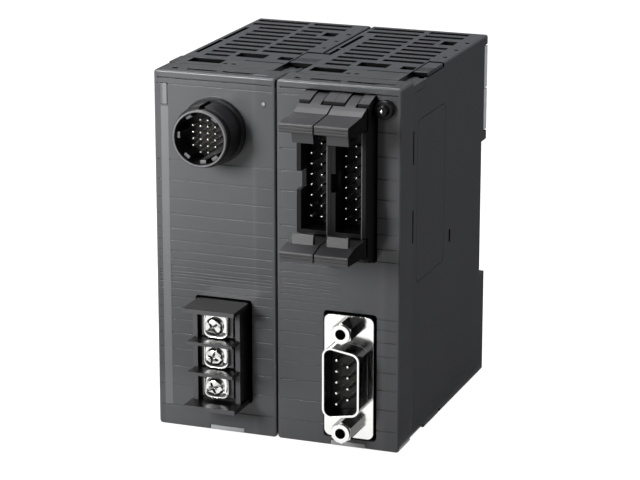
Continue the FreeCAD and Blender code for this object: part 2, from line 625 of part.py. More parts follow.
def rear_case(side):
    outer = profile(f"{side}_case_outer", "XZ_Plane", rectangle(("0", W), ("0", H)),
                    ("cover_depth", "housing_depth"), corner="case_corner")
    bay = box(f"{side}_case_bay", INNER_X, (f"cover_depth - {PAST}", "case_bay_back"), INNER_Z)
    shell = cut(f"{side}_case_shell", outer, [bay])
    bed_x = (f"{W} - slider_groove_width - wall", f"{W} - wall")
    bed_y = ("cover_depth + tab_length + wall", "slider_groove_end + wall")
    joint_beds = [
        box(f"{side}_bed_top", bed_x, bed_y, (f"{H} - wall - slider_bed", f"{H} - wall")),
        box(f"{side}_bed_foot", bed_x, bed_y, ("wall", "wall + slider_bed"))]
    body = fuse(f"{side}_case_body", [shell] + joint_beds)

    wide = (f"-{PAST}", f"{W} + {PAST}")
    cuts = [box(f"{side}_rail", wide, ("rail_seat", f"housing_depth + {PAST}"),
                ("rail_low", "rail_high")),
            box(f"{side}_plate_pocket", wide,
                ("housing_depth - plate_thick", f"housing_depth + {PAST}"),
                ("plate_low - plate_gap", "plate_low + 2 * plate_height + 2 * plate_gap")),
            box(f"{side}_tab_room_top", wide,
                (f"cover_depth - {PAST}", "cover_depth + tab_length + fit_gap"),
                (f"{H} - tab_thick - fit_gap", f"{H} + {PAST}")),
            box(f"{side}_tab_room_foot", wide,
                (f"cover_depth - {PAST}", "cover_depth + tab_length + fit_gap"),
                (f"-{PAST}", "foot_tab_thick + fit_gap"))]
    # the catch runs in a groove with a flange on each side
    middle = f"{W} / 2"
    flange_y = ("rail_seat + catch_flange_front",
                "rail_seat + catch_flange_front + catch_flange_thick")
    neck = (f"{middle} - catch_width / 2 - catch_play", f"{middle} + catch_width / 2 + catch_play")
    cuts.append(box(f"{side}_catch_wide", grown(neck, "catch_flange"), grown(flange_y, "catch_play"),
                    (f"-{PAST}", f"rail_low + {PAST}")))
    cuts.append(box(f"{side}_catch_neck", neck, (flange_y[0], f"housing_depth + {PAST}"),
                    (f"-{PAST}", f"rail_low + {PAST}")))
    cuts += vent_slots(side)
    # grooves and keel slots of the joining sliders
    keel_x = (f"{W} - keel_inset - keel_width - slider_play", f"{W} - keel_inset + slider_play")
    for above in (True, False):
        word = "top" if above else "foot"
        cuts.append(slider_ways(f"{side}_way_{word}", 1, above))
        outer_z = H if above else "0"
        depth = "slider_groove_depth + keel_depth + slider_play"
        inner = f"{outer_z} - ({depth})" if above else depth
        cuts.append(box(f"{side}_keel_way_{word}", keel_x,
                        ("keel_slot_front", "slider_groove_end"),
                        sorted_ends(inner, outer_z, above)))
        if side == "right":
            cuts.append(slider_ways(f"{side}_far_way_{word}", -1, above))
    # bus openings: out of the right side, and into the left side of the right housing
    bus_y = grown(BUS_Y, "bus_socket_wall + fit_gap")
    bus_z = grown(BUS_Z, "bus_socket_wall + fit_gap")
    cuts.append(box(f"{side}_bus_out", (f"{W} - wall - {PAST}", f"{W} + {PAST}"), bus_y, bus_z))
    if side == "right":
        cuts.append(box("right_bus_in", (f"-{PAST}", f"wall + {PAST}"), bus_y, bus_z))
        cuts.append(profile("right_bus_cover_pocket", "YZ_Plane",
                            rectangle(grown(("bus_cover_front", "bus_cover_back"), "fit_gap"),
                                      grown(("bus_cover_low", "bus_cover_high"), "fit_gap")),
                            (f"{W} - bus_cover_thick", f"{W} + {PAST}"),
                            corner="bus_cover_corner"))
    slot = ("side_slot_y", "side_slot_y + side_slot_width")
    cuts.append(box(f"{side}_side_slot", (f"{W} - wall / 2", f"{W} + {PAST}"), slot,
                    ("side_slot_low", "side_slot_low + side_slot_height")))
    carved = cut(f"{side}_case_carved", body, cuts)
    hook = box(f"{side}_rail_hook", ("rail_hook_inset", f"{W} - rail_hook_inset"),
               ("rail_seat + rail_lip_room", "housing_depth"),
               ("rail_high - rail_hook", "rail_high"))
    node(f"{side}_rear_case", fuse(f"{side}_case_whole", [carved, hook]), side)


# ---------------------------------------------------------------- front covers
def groove_heights(count_up, count_down):
    """Heights of the fine grooves, closest at groove_centre and wider apart away from it."""
    heights = ["groove_centre"]
    for k in range(1, max(count_up, count_down) + 1):
        away = f"(groove_step * {k} + groove_growth * {k * k})"
        if k <= count_up:
            heights.append(f"groove_centre + {away}")
        if k <= count_down:
            heights.append(f"groove_centre - {away}")
    return heights


def cover_shell(side):
    outer = profile(f"{side}_cover_outer", "XZ_Plane", rectangle(("0", W), ("0", H)),
                    ("0", "cover_depth"), corner="cover_corner", face_edge="cover_edge")
    hollow = box(f"{side}_cover_hollow", INNER_X, ("cover_wall", f"cover_depth + {PAST}"), INNER_Z)
    shell = cut(f"{side}_cover_shell", outer, [hollow])
    tab_y = ("cover_depth", "cover_depth + tab_length")
    top_tab = box(f"{side}_cover_tab", ("0", W), tab_y, (f"{H} - tab_thick", H))
    foot_tab = box(f"{side}_cover_foot_tab", ("0", W), tab_y, ("0", "foot_tab_thick"))
    return fuse(f"{side}_cover_body", [shell, top_tab, foot_tab])


def top_slots(side):
    """Slots, pockets and the seam line in the top of a cover."""
    deep = (f"{H} - wall - {PAST}", f"{H} + {PAST}")
    shallow = (f"{H} - top_line_depth", f"{H} + {PAST}")
    front = ("top_slot_front", "top_slot_front + top_slot_width")
    second = "top_slot_left + top_slot_length + vent_bridge"
    pocket = ("cover_depth + top_pocket_front",
              "cover_depth + top_pocket_front + top_pocket_width")
    dot = (pocket[0], "cover_depth + top_pocket_front + top_dot")
    sunk = (f"{H} - top_pocket_depth", f"{H} + {PAST}")
    seam = "cover_depth - seam_slit"
    return [
        box(f"{side}_top_slot_a", ("top_slot_left", "top_slot_left + top_slot_length"), front, deep),
        box(f"{side}_top_slot_b", (second, f"{second} + top_slot_length"), front, deep),
        box(f"{side}_top_slot_c", ("top_square_left", "top_square_left + top_slot_width"),
            front, deep),
        box(f"{side}_top_pad", ("top_pad_left", "top_pad_left + top_pad_length"),
            grown(front, "top_line_depth"), shallow),
        box(f"{side}_top_line", ("0", W), (f"{seam} - top_line_depth", seam), shallow),
        box(f"{side}_top_pocket", ("top_pocket_left", "top_pocket_left + top_pocket_length"),
            pocket, sunk),
        box(f"{side}_top_dot_a", ("top_dots_left", "top_dots_left + top_dot"), dot, sunk),
        box(f"{side}_top_dot_b", ("top_dots_left + 2 * top_dot", "top_dots_left + 3 * top_dot"),
            dot, sunk),
    ]


def cover_cuts(side, count_up):
    """What both covers share: grooves, brow lines, seam slits, foot notch and slider ways."""
    skin = (f"-{PAST}", "groove_depth")
    whole = ("groove_margin", f"{W} - groove_margin")
    grooves = []
    for k, z in enumerate(groove_heights(count_up, 11)):
        low = f"{z} - groove_width / 2"
        grooves.append(box(f"{side}_groove_{k}", whole, skin, (low, f"{low} + groove_width")))
    cuts = grooves
    if side == "right":
        # the grooves stop at a plain field for a label
        field = box("label_field", ("label_left", f"{W} + {PAST}"), grown(skin, PAST),
                    ("label_low", "label_high"))
        cuts = [cut("right_grooves", group("right_groove_group", grooves), [field])]
    for word, z in (("low", "brow_low"), ("high", "brow_high")):
        cuts.append(box(f"{side}_brow_{word}", whole, skin, (z, f"{z} + groove_width")))
    for word, z in (("upper", "seam_slit_upper"), ("lower", "seam_slit_lower")):
        for edge, x in (("left", (f"-{PAST}", "seam_slit")),
                        ("right", (f"{W} - seam_slit", f"{W} + {PAST}"))):
            cuts.append(box(f"{side}_slit_{word}_{edge}", x,
                            ("cover_depth - seam_slit", f"cover_depth + {PAST}"),
                            (z, f"{z} + seam_slit_length")))
    cuts.append(profile(f"{side}_foot_notch", "YZ_Plane",
                        [(f"-{PAST}", "foot_notch_height"), ("0", "foot_notch_height"),
                         ("foot_notch_depth", "0"), ("foot_notch_depth", f"-{PAST}"),
                         (f"-{PAST}", f"-{PAST}")],
                        ("foot_notch_left", "foot_notch_left + foot_notch_width")))
    for above in (True, False):
        word = "top" if above else "foot"
        cuts.append(slider_ways(f"{side}_cover_way_{word}", 1, above))
        if side == "right":
            cuts.append(slider_ways(f"{side}_cover_far_way_{word}", -1, above))
    return cuts + top_slots(side)


def left_cover():
    cuts = cover_cuts("left", 10)
    cuts.append(rod("round_hole", "y", ("round_x", "round_z"), (f"-{PAST}", f"cover_wall + {PAST}"),
                    "round_outer + fit_gap"))
    through = (f"-{PAST}", f"cover_wall + {PAST}")
    cuts.append(profile("terminal_opening", "XZ_Plane",
                        rectangle(("terminal_opening_left", "terminal_opening_right"),
                                  ("terminal_opening_low", "terminal_opening_high")),
                        through, corner="opening_corner"))
    cuts.append(box("guide_hole", ("guide_left - fit_gap", "guide_left + guide_width + fit_gap"),
                    through, ("guide_low - fit_gap", "guide_low + guide_height + fit_gap")))
    cuts.append(rod("lens_hole", "y", ("lens_x", "lens_z"), through, "lens_radius + fit_gap"))
    cuts.append(box("strip_room", ("strip_left", "strip_left + strip_width"),
                    (f"-{PAST}", "strip_thick"), ("strip_low", "strip_high")))
    node("left_front_cover", cut("left_cover_whole", cover_shell("left"), cuts), "left")


def right_cover():
    cuts = cover_cuts("right", 12)
    through = (f"-{PAST}", f"cover_wall + {PAST}")
    cuts.append(profile("header_opening", "XZ_Plane",
                        rectangle(("header_opening_left", "header_opening_right"),
                                  ("header_opening_low", "header_opening_high")),
                        through, corner="opening_corner"))
    cuts.append(profile("dsub_opening", "XZ_Plane",
                        rectangle(("dsub_opening_left", "dsub_opening_right"),
                                  ("dsub_opening_low", "dsub_opening_high")),
                        through, corner="opening_corner"))
    node("right_front_cover", cut("right_cover_whole", cover_shell("right"), cuts), "right")


# ---------------------------------------------------------------- fittings of both housings
def back_plates(side):
    plates = []
    for k in range(2):
        low = f"plate_low + {k} * (plate_height + plate_gap)"
        plates.append(box(f"{side}_plate_{k}", ("0", W),
                          ("housing_depth - plate_thick", "housing_depth"),
                          (low, f"{low} + plate_height")))
    node(f"{side}_back_plates", group(f"{side}_plates", plates), side)


def rail_catch(side):
    """The sliding catch that hooks behind the rail's lower lip; it is pulled down to let go."""
    middle = f"{W} / 2"
    neck = (f"{middle} - catch_width / 2", f"{middle} + catch_width / 2")
    flange_y = ("rail_seat + catch_flange_front",
                "rail_seat + catch_flange_front + catch_flange_thick")
    stop = "rail_low - catch_play"
    flange = box(f"{side}_catch_flange", grown(neck, "catch_flange"), flange_y,
                 ("catch_lift", stop))
    rib = box(f"{side}_catch_rib", neck, (flange_y[0], "housing_depth - catch_play"),
              ("catch_lift", stop))
    hook = box(f"{side}_catch_hook", neck,
               ("rail_seat + rail_lip_room", "housing_depth - catch_play"),
               (stop, "rail_low + rail_hook"))
    grip_x = (f"{middle} - catch_grip_width / 2", f"{middle} + catch_grip_width / 2")
    grip = box(f"{side}_catch_grip", grip_x, ("rail_seat", f"housing_depth + {PAST}"),
               ("catch_lift + catch_grip_up", "catch_lift + catch_grip_up + catch_grip_height"))
    whole = cut(f"{side}_catch", fuse(f"{side}_catch_body", [flange, rib, hook]), [grip])
    node(f"{side}_rail_catch", whole, side)


def joining_slider(side, above):
    """A slide in the housing's edge; the left housing's also reaches over its neighbour."""
    word = "top" if above else "foot"
    reach = f"{W} + joint_gap + slider_reach" if side == "left" else f"{W} - slider_play"
    x = (f"{W} - slider_groove_width + slider_play", reach)
    face = f"{H} - slider_top_gap" if above else "slider_top_gap"
    inward = "-" if above else "+"
    under = f"{face} {inward} slider_thick"
    keel_end = f"{under} {inward} keel_depth"
    plate_z = (under, face) if above else (face, under)
    keel_z = (keel_end, under) if above else (under, keel_end)
    plate = box(f"{side}_slide_{word}", x, ("slider_front", "slider_back"), plate_z)
    keel = box(f"{side}_keel_{word}", (f"{W} - keel_inset - keel_width", f"{W} - keel_inset"),
               ("slider_back - keel_length", "slider_back - slider_play"), keel_z)
    grip_z = sorted_ends(f"{face} {inward} slider_rib", face, above)
    grips = []
    for k in range(4):
        y = f"slider_front + 2 + {k} * 3 * slider_rib"
        grips.append(box(f"{side}_grip_{word}_{k}", grown(x, PAST), (y, f"{y} + slider_rib"),
                         grip_z))
    whole = cut(f"{side}_slider_{word}", fuse(f"{side}_slider_{word}_body", [plate, keel]), grips)
    node(f"{side}_{'top' if above else 'bottom'}_slider", whole, side)


def boards(side):
    """A front board behind the cover, a main board and a side board that stand behind it."""
    back = "front_board_y + board_thick"
    x = grown(INNER_X, "-board_gap")
    z = grown(INNER_Z, "-board_gap")
    tab_z = ("foot_tab_thick + board_gap", f"{H} - tab_thick - board_gap")
    front = box(f"{side}_front_board_plate", x, ("front_board_y", back), tab_z)
    node(f"{side}_front_board", group(f"{side}_front_board_group", [front]), side)
    deep = (back, "case_bay_back - board_gap")
    bed = "slider_bed + board_gap"
    for word, left in (("main", "main_board_x"), ("side", "side_board_x")):
        plate = box(f"{side}_{word}_board_plate", (left, f"{left} + board_thick"), deep,
                    (f"wall + {bed}", f"{H} - tab_thick - {bed}"))
        node(f"{side}_{word}_board", group(f"{side}_{word}_board_group", [plate]), side)


def board_parts(side):
    """Integrated circuits and capacitors on the main board, a transformer on the side board."""
    face = "main_board_x + board_thick"
    chips = []
    for k in range(4):
        y = f"chip_front + {k % 2} * chip_pitch"
        z = f"chip_low + {k // 2} * chip_rise"
        chips.append(box(f"{side}_chip_{k}", (face, f"{face} + chip_height"),
                         (y, f"{y} + chip_size"), (z, f"{z} + chip_size")))
    node(f"{side}_chips", group(f"{side}_chip_group", chips), side)
    cans = []
    for k in range(3):
        y = f"capacitor_front + {k} * (2 * capacitor_radius + capacitor_gap)"
        cans.append(rod(f"{side}_capacitor_{k}", "x", (y, "capacitor_up"),
                        (face, f"{face} + capacitor_length"), "capacitor_radius"))
    node(f"{side}_capacitors", group(f"{side}_capacitor_group", cans), side)
    right = "side_board_x"
    core = box(f"{side}_core", (f"{right} - core_width", right),
               ("core_front", "core_front + core_size"), ("core_low", "core_low + core_size"))
    coil = rod(f"{side}_coil", "z", (f"{right} - core_width / 2", "core_front + core_size / 2"),
               ("core_low - coil_lip", "core_low + core_size + coil_lip"), "coil_radius")
    node(f"{side}_transformer", fuse(f"{side}_transformer_body", [core, coil]), side)


def bus_plug(side):
    """Bus connector on the side board; the left housing's plugs into the right housing."""
    left = "side_board_x + board_thick"
    end = f"{W} + joint_gap + bus_reach" if side == "left" else f"{W} - bus_cover_thick - fit_gap"
    body = box(f"{side}_bus_body", (left, end), BUS_Y, BUS_Z)
    slot = box(f"{side}_bus_slot", (f"{end} - bus_reach", f"{end} + {PAST}"),
               grown(BUS_Y, "-bus_thick / 3"), grown(BUS_Z, "-bus_socket_wall"))
    node(f"{side}_bus_plug", cut(f"{side}_bus_whole", body, [slot]), side)


def bus_socket():
    """Bus connector on the right housing's main board, round the left housing's plug."""
    shell = box("bus_socket_body", ("fit_gap", "main_board_x"), grown(BUS_Y, "bus_socket_wall"),
                grown(BUS_Z, "bus_socket_wall"))
    room = box("bus_socket_room", (f"-{PAST}", "joint_gap + bus_reach"), grown(BUS_Y, "fit_gap"),
               grown(BUS_Z, "fit_gap"))
    node("right_bus_socket", cut("bus_socket_whole", shell, [room]), "right")


def bus_cover():
    plate = profile("bus_cover_plate", "YZ_Plane",
                    rectangle(("bus_cover_front", "bus_cover_back"),
                              ("bus_cover_low", "bus_cover_high")),
                    (f"{W} - bus_cover_thick", W), corner="bus_cover_corner")
    node("right_bus_cover", plate, "right")


# ---------------------------------------------------------------- indicators of the left housing
def indicators():
    guide = box("guide_bar", ("guide_left", "guide_left + guide_width"),
                ("-guide_proud", "front_board_y - lamp_height"),
                ("guide_low", "guide_low + guide_height"))
    node("left_light_guide", group("guide_group", [guide]), "left")
    lens = rod("lens_bar", "y", ("lens_x", "lens_z"),
               ("-guide_proud", "front_board_y - lamp_height"), "lens_radius")
    node("left_power_lens", group("lens_group", [lens]), "left")
    lamps = []
    for k, (x, z) in enumerate((("guide_left + guide_width / 2", "guide_low + lamp / 2"),
                                ("guide_left + guide_width / 2",
                                 "guide_low + guide_height - lamp / 2"),
                                ("lens_x", "lens_z"))):
        lamps.append(box(f"lamp_{k}", (f"{x} - lamp / 2", f"{x} + lamp / 2"),
                         ("front_board_y - lamp_height", "front_board_y"),
                         (f"{z} - lamp / 2", f"{z} + lamp / 2")))
    node("left_lamps", group("lamp_group", lamps), "left")
    strip = box("strip_bar", ("strip_left", "strip_left + strip_width"), ("0", "strip_thick"),
                ("strip_low", "strip_high"))
    node("left_label_strip", group("strip_group", [strip]), "left")


# ---------------------------------------------------------------- round connector
def round_pin_places():
    """Two outer columns of four pins and two inner columns of six."""
    places = []
    for column, count, pitch in ((-1.5, 4, "round_short_pitch"), (-0.5, 6, "round_long_pitch"),
                                 (0.5, 6, "round_long_pitch"), (1.5, 4, "round_short_pitch")):
        for k in range(count):
            places.append((f"round_x + {column} * round_column",
                           f"round_z + {k - (count - 1) / 2} * {pitch}"))
    return places


def round_connector():
    at = ("round_x", "round_z")
    front = "-round_length"
    step = "-round_length + round_rim_length"
    boss = rod("round_boss_disc", "y", at, ("-round_boss_height", "0"), "round_boss")
    tube = rod("round_tube", "y", at, (step, "front_board_y"), "round_outer")
    rim = rod("round_rim_ring", "y", at, (front, step), "round_rim")
    bore = rod("round_bore_cut", "y", at, (f"{front} - {PAST}", f"front_board_y + {PAST}"),
               "round_bore")
    key = box("round_key_cut", ("round_x - round_key_width / 2", "round_x + round_key_width / 2"),
              (f"{front} - {PAST}", "-round_boss_height"),
              ("round_z + round_rim - round_key_depth", f"round_z + round_outer + {PAST}"))
    node("round_shell", cut("round_shell_whole", fuse("round_shell_body", [boss, tube, rim]),
                            [bore, key]), "left")

    face = "-round_insert_face"
    plug = rod("round_plug", "y", at, (face, "front_board_y"), "round_bore - fit_gap")
    pieces = [plug]
    for k, angle in enumerate((53, 122, 177, 232, 275, 307)):
        block = doc.addObject("Part::Box", f"round_block_{k}")
        block.setExpression("Length", formula("round_block_radial"))
        block.setExpression("Width", formula("round_block_tip"))
        block.setExpression("Height", formula("round_block_width"))
        turn = FreeCAD.Rotation(FreeCAD.Vector(0, -1, 0), angle)
        block.Placement.Rotation = turn
        # the block's near lower corner, turned about the connector's axis
        inner = "(round_bore - fit_gap - round_block_radial)"
        half = "round_block_width / 2"
        across = f"cos({angle} * 1 deg)"
        upward = f"sin({angle} * 1 deg)"
        block.setExpression("Placement.Base.x",
                            formula(f"round_x + {inner} * {across} + {half} * {upward}"))
        block.setExpression("Placement.Base.y", formula("-round_block_tip"))
        block.setExpression("Placement.Base.z",
                            formula(f"round_z + {inner} * {upward} - {half} * {across}"))
        pieces.append(block)
    holes = [rod(f"round_pin_hole_{k}", "y", place,
                 (f"{face} - {PAST}", f"front_board_y + {PAST}"), "round_pin_radius + pin_fit")
             for k, place in enumerate(round_pin_places())]
    node("round_insert", cut("round_insert_whole", fuse("round_insert_body", pieces), holes),
         "left")

    pins = []
    for k, place in enumerate(round_pin_places()):
        shaft = rod(f"round_pin_{k}", "y", place,
                    ("-round_pin_tip + round_pin_radius", "front_board_y"), "round_pin_radius")
        point = tip(f"round_pin_tip_{k}", place,
                    ("-round_pin_tip", "-round_pin_tip + round_pin_radius"),
                    ("round_pin_radius / 2", "round_pin_radius"))
        pins.append(fuse(f"round_pin_whole_{k}", [shaft, point]))
    node("round_pins", group("round_pin_group", pins), "left")

    nut = rod("round_nut_disc", "y", at, ("cover_wall", "cover_wall + round_nut_thick"),
              "round_nut")
    hole = rod("round_nut_hole", "y", at, ("0", "front_board_y"), "round_outer + pin_fit")
    flats = [box(f"round_nut_flat_{k}", x, ("0", "front_board_y"),
                 ("round_z - 2 * round_nut", "round_z + 2 * round_nut"))
             for k, x in enumerate((("0", "round_x - round_nut + fit_gap * 4"),
                                    ("round_x + round_nut - fit_gap * 4", W)))]
    node("round_nut", cut("round_nut_whole", nut, [hole] + flats), "left")


# ---------------------------------------------------------------- screw terminal
def screw_height(k):
    return f"terminal_screw_low + {k} * terminal_pitch"


def terminal_block():
    z = ("terminal_low", "terminal_high")
    pieces = [box("terminal_base", ("terminal_left", "terminal_right"),
                  ("-terminal_face", "front_board_y"), z)]
    for word, x in (("left", ("terminal_left", "terminal_left + terminal_post")),
                    ("right", ("terminal_right - terminal_post", "terminal_right"))):
        pieces.append(box(f"terminal_post_{word}", x, ("-terminal_post_reach", "0"), z))
    for word, end in (("hood", ("terminal_high - terminal_hood_thick", "terminal_high")),
                      ("shelf", ("terminal_low", "terminal_low + terminal_hood_thick"))):
        pieces.append(box(f"terminal_{word}", about("terminal_x", "terminal_hood_width / 2"),
                          ("-terminal_hood_reach", "-terminal_hood_thick"), end))
    fin_x = ("terminal_left + terminal_fin_in", "terminal_right - terminal_fin_in")
    for k in range(2):
        middle = f"terminal_screw_low + {k + 0.5} * terminal_pitch"
        pieces.append(box(f"terminal_fin_{k}", fin_x, ("-terminal_fin_reach", "0"),
                          (f"{middle} - terminal_fin_thick / 2",
                           f"{middle} + terminal_fin_thick / 2")))
    holes = [rod(f"terminal_bore_{k}", "y", ("terminal_x", screw_height(k)),
                 ("-terminal_hood_reach", "screw_length"), "screw_shank + screw_play")
             for k in range(3)]
    body = fuse("terminal_body", pieces)
    node("terminal_block", cut("terminal_block_whole", body, holes), "left")

    half = "tab_plate_width / 2"
    plates = []
    for k in range(3):
        z = screw_height(k)
        x = (f"terminal_x - {half}", f"terminal_x + {half}")
        plate = box(f"tab_{k}", x, ("plate_face", "-terminal_face"),
                    (f"{z} - tab_plate_height / 2", f"{z} + tab_plate_height / 2"))
        bore = rod(f"tab_bore_{k}", "y", ("terminal_x", z), ("-terminal_hood_reach", "0"),
                   "screw_shank + screw_play")
        plates.append(cut(f"tab_whole_{k}", plate, [bore]))
        square = box(f"washer_{k}", ("terminal_x - washer_size / 2", "terminal_x + washer_size / 2"),
                     ("washer_face", f"washer_face + washer_thick"),
                     (f"{z} - washer_size / 2", f"{z} + washer_size / 2"))
        bore = rod(f"washer_bore_{k}", "y", ("terminal_x", z), ("-terminal_hood_reach", "0"),
                   "screw_shank + screw_play")
        node(f"terminal_washer_{k + 1}", cut(f"washer_whole_{k}", square, [bore]), "left")
    node("terminal_plates", group("tab_group", plates), "left")

    for k in range(3):
        at = ("terminal_x", screw_height(k))
        head_front = f"washer_face - screw_head_thick"
        head = rod(f"screw_head_{k}", "y", at, (head_front, "washer_face"), "screw_head")
        shank = rod(f"screw_shank_{k}", "y", at,
                    ("washer_face", f"washer_face + screw_length"), "screw_shank")
        along = ("cross_length / 2", "cross_width / 2")
        slots = []
        for j in range(2):
            wide, tall = along if j == 0 else along[::-1]
            slots.append(box(f"cross_{k}_{j}", (f"{at[0]} - {wide}", f"{at[0]} + {wide}"),
                             (f"{head_front} - {PAST}", f"{head_front} + cross_depth"),
                             (f"{at[1]} - {tall}", f"{at[1]} + {tall}")))
        screw = cut(f"terminal_screw_whole_{k}", fuse(f"terminal_screw_body_{k}", [head, shank]),
                    slots)
        node(f"terminal_screw_{k + 1}", screw, "left")


# ---------------------------------------------------------------- box headers and latches
def header_centre(k):
    return f"(header_x + {k - 0.5} * header_pitch)"


def header_pin_places(k):
    places = []
    for row in range(int(sizes.header_rows)):
        for column in (-0.5, 0.5):
            places.append((f"{header_centre(k)} + {column} * header_pin_pitch",
                           f"header_z + ({row} - (header_rows - 1) / 2) * header_pin_pitch"))
    return places


def about(middle, half):
    return (f"{middle} - ({half})", f"{middle} + ({half})")


def latch_place(end, y, z):
    """A place on an upper (1) or lower (-1) latch: y forward, z out from the headers' middle."""
    return (f"-({y})", f"header_z + {end} * ({z})")


def latch_back(end, share, rise="0"):
    """The back falls in a steepening curve from the top of the heel to the thumb shelf."""
    return latch_place(end, f"{share} * latch_run - latch_pivot_y",
                       f"latch_pivot_z + latch_heel + {rise}"
                       f" - ({share}) ^ 1.5 * (latch_heel - latch_shelf_up)")


def header_shroud(k, word):
    x = about(header_centre(k), "header_width / 2")
    pieces = [box(f"shroud_{k}", x, ("-header_reach", "front_board_y"),
                  about("header_z", "header_half")),
              box(f"shroud_base_{k}", x, ("header_tower_front", "front_board_y"),
                  about("header_z", "header_tower_half"))]
    behind = "-header_tower_front - header_end_wall"
    foot = "header_half - header_end_wall"
    steps = 3
    for end in (-1, 1):
        outline = [latch_place(end, behind, foot),
                   latch_place(end, behind, "latch_pivot_z + latch_heel + cheek_rise")]
        for j in range(steps + 1):
            outline.append(latch_back(end, f"cheek_run * {j / steps}", "cheek_rise"))
        outline.append(latch_place(end, "cheek_run * latch_run - latch_pivot_y", foot))
        for side in (-1, 1):
            inner = f"{header_centre(k)} + {side} * cheek_inner"
            outer = f"{header_centre(k)} + {side} * header_width / 2"
            pieces.append(profile(f"cheek_{k}_{side + 1}_{end + 1}", "YZ_Plane", outline,
                                  (inner, outer) if side > 0 else (outer, inner)))
    cavity_x = about(header_centre(k), "header_cavity_width / 2")
    cuts = [box(f"cavity_{k}", cavity_x, (f"-header_reach - {PAST}", "header_floor"),
                about("header_z", "header_cavity_half")),
            box(f"notch_{k}", (f"{x[0]} - {PAST}", f"{cavity_x[0]} + {PAST}"),
                (f"-header_reach - {PAST}", "-header_reach + header_notch_depth"),
                about("header_z", "header_notch / 2"))]
    for end in (-1, 1):
        cuts.append(rod(f"pivot_hole_{k}_{end + 1}", "x",
                        ("latch_pivot_y", f"header_z + {end} * latch_pivot_z"),
                        about(header_centre(k), "header_width"), "trunnion + trunnion_play"))
    for j, (px, pz) in enumerate(header_pin_places(k)):
        cuts.append(box(f"pin_hole_{k}_{j}", about(px, "header_pin / 2 + pin_fit"),
                        ("0", f"front_board_y + {PAST}"), about(pz, "header_pin / 2 + pin_fit")))
    body = fuse(f"shroud_body_{k}", pieces)
    node(f"{word}_header_shroud", cut(f"shroud_whole_{k}", body, cuts), "right")

    pins = []
    for j, (px, pz) in enumerate(header_pin_places(k)):
        pins.append(box(f"header_pin_{k}_{j}", about(px, "header_pin / 2"),
                        ("-header_pin_tip", "front_board_y"), about(pz, "header_pin / 2")))
    node(f"{word}_header_pins", group(f"header_pin_group_{k}", pins), "right")


def latch(k, word, end):
    """A latch with its thumb shelf and claw; end is 1 for the upper and -1 for the lower."""
    name = f"latch_{k}_{end + 1}"
    steps = 5
    outline = [latch_place(end, "-latch_pivot_y", "latch_pivot_z - latch_heel")]
    outline += [latch_back(end, f"{j / steps}") for j in range(steps + 1)]
    outline += [latch_place(end, "latch_tip_y", "latch_tip_z"),
                latch_place(end, "latch_tip_y", "latch_tip_z - latch_lip"),
                latch_place(end, "claw_face + claw_tip", "latch_under")]
    half = about(header_centre(k), "latch_width / 2")
    arm = profile(f"{name}_arm", "YZ_Plane", outline, half, corner="latch_rounding")
    claw = profile(f"{name}_claw", "YZ_Plane",
                   [latch_place(end, "claw_face", "latch_under + claw_tip"),
                    latch_place(end, "claw_face + claw_tip + claw_lean", "latch_under + claw_tip"),
                    latch_place(end, "claw_face + claw_tip", "claw_low"),
                    latch_place(end, "claw_face", "claw_low")],
                   about(header_centre(k), "claw_width / 2"))
    pivot = ("latch_pivot_y", f"header_z + {end} * latch_pivot_z")
    heel = rod(f"{name}_heel", "x", pivot, half, "latch_heel")
    body = fuse(f"{name}_body", [arm, claw, heel])
    slots = []
    for side in (-1, 1):
        inner = f"{header_centre(k)} + {side} * (cheek_inner - latch_neck_play)"
        outer = f"{header_centre(k)} + {side} * header_width / 2"
        slots.append(box(f"{name}_slot_{side + 1}", (inner, outer) if side > 0 else (outer, inner),
                         ("-latch_neck_reach", "header_tower_front"),
                         about(pivot[1], "2 * latch_heel")))
    for j in range(2):
        z = f"header_z + {end} * (latch_tip_z - {j + 1} * latch_lip / 3)"
        slots.append(box(f"{name}_lip_groove_{j}", grown(half, PAST),
                         (f"-latch_tip_y - {PAST}", "-latch_tip_y + lip_groove"),
                         about(z, "lip_groove / 2")))
    carved = cut(f"{name}_carved", body, slots)
    pin = rod(f"{name}_trunnion", "x", pivot, half, "trunnion")
    label = f"{word}_header_{'upper' if end > 0 else 'lower'}_latch"
    node(label, fuse(f"{name}_whole", [carved, pin]), "right")


# ---------------------------------------------------------------- nine-pin D connector
def d_outline(grow):
    """The D outline, wide side to the left; grow moves every side out."""
    return [(f"dsub_x - dsub_half_width - ({grow})", f"dsub_z - dsub_wide_half - ({grow})"),
            (f"dsub_x + dsub_half_width + ({grow})", f"dsub_z - dsub_narrow_half - ({grow})"),
            (f"dsub_x + dsub_half_width + ({grow})", f"dsub_z + dsub_narrow_half + ({grow})"),
            (f"dsub_x - dsub_half_width - ({grow})", f"dsub_z + dsub_wide_half + ({grow})")]


def dsub_pin_places():
    """Five pins on the wide left side and four on the right."""
    places = []
    for count, side in ((5, -1), (4, 1)):
        for k in range(count):
            places.append((f"dsub_x + {side} * dsub_row",
                           f"dsub_z + {k - (count - 1) / 2} * dsub_pin_pitch"))
    return places


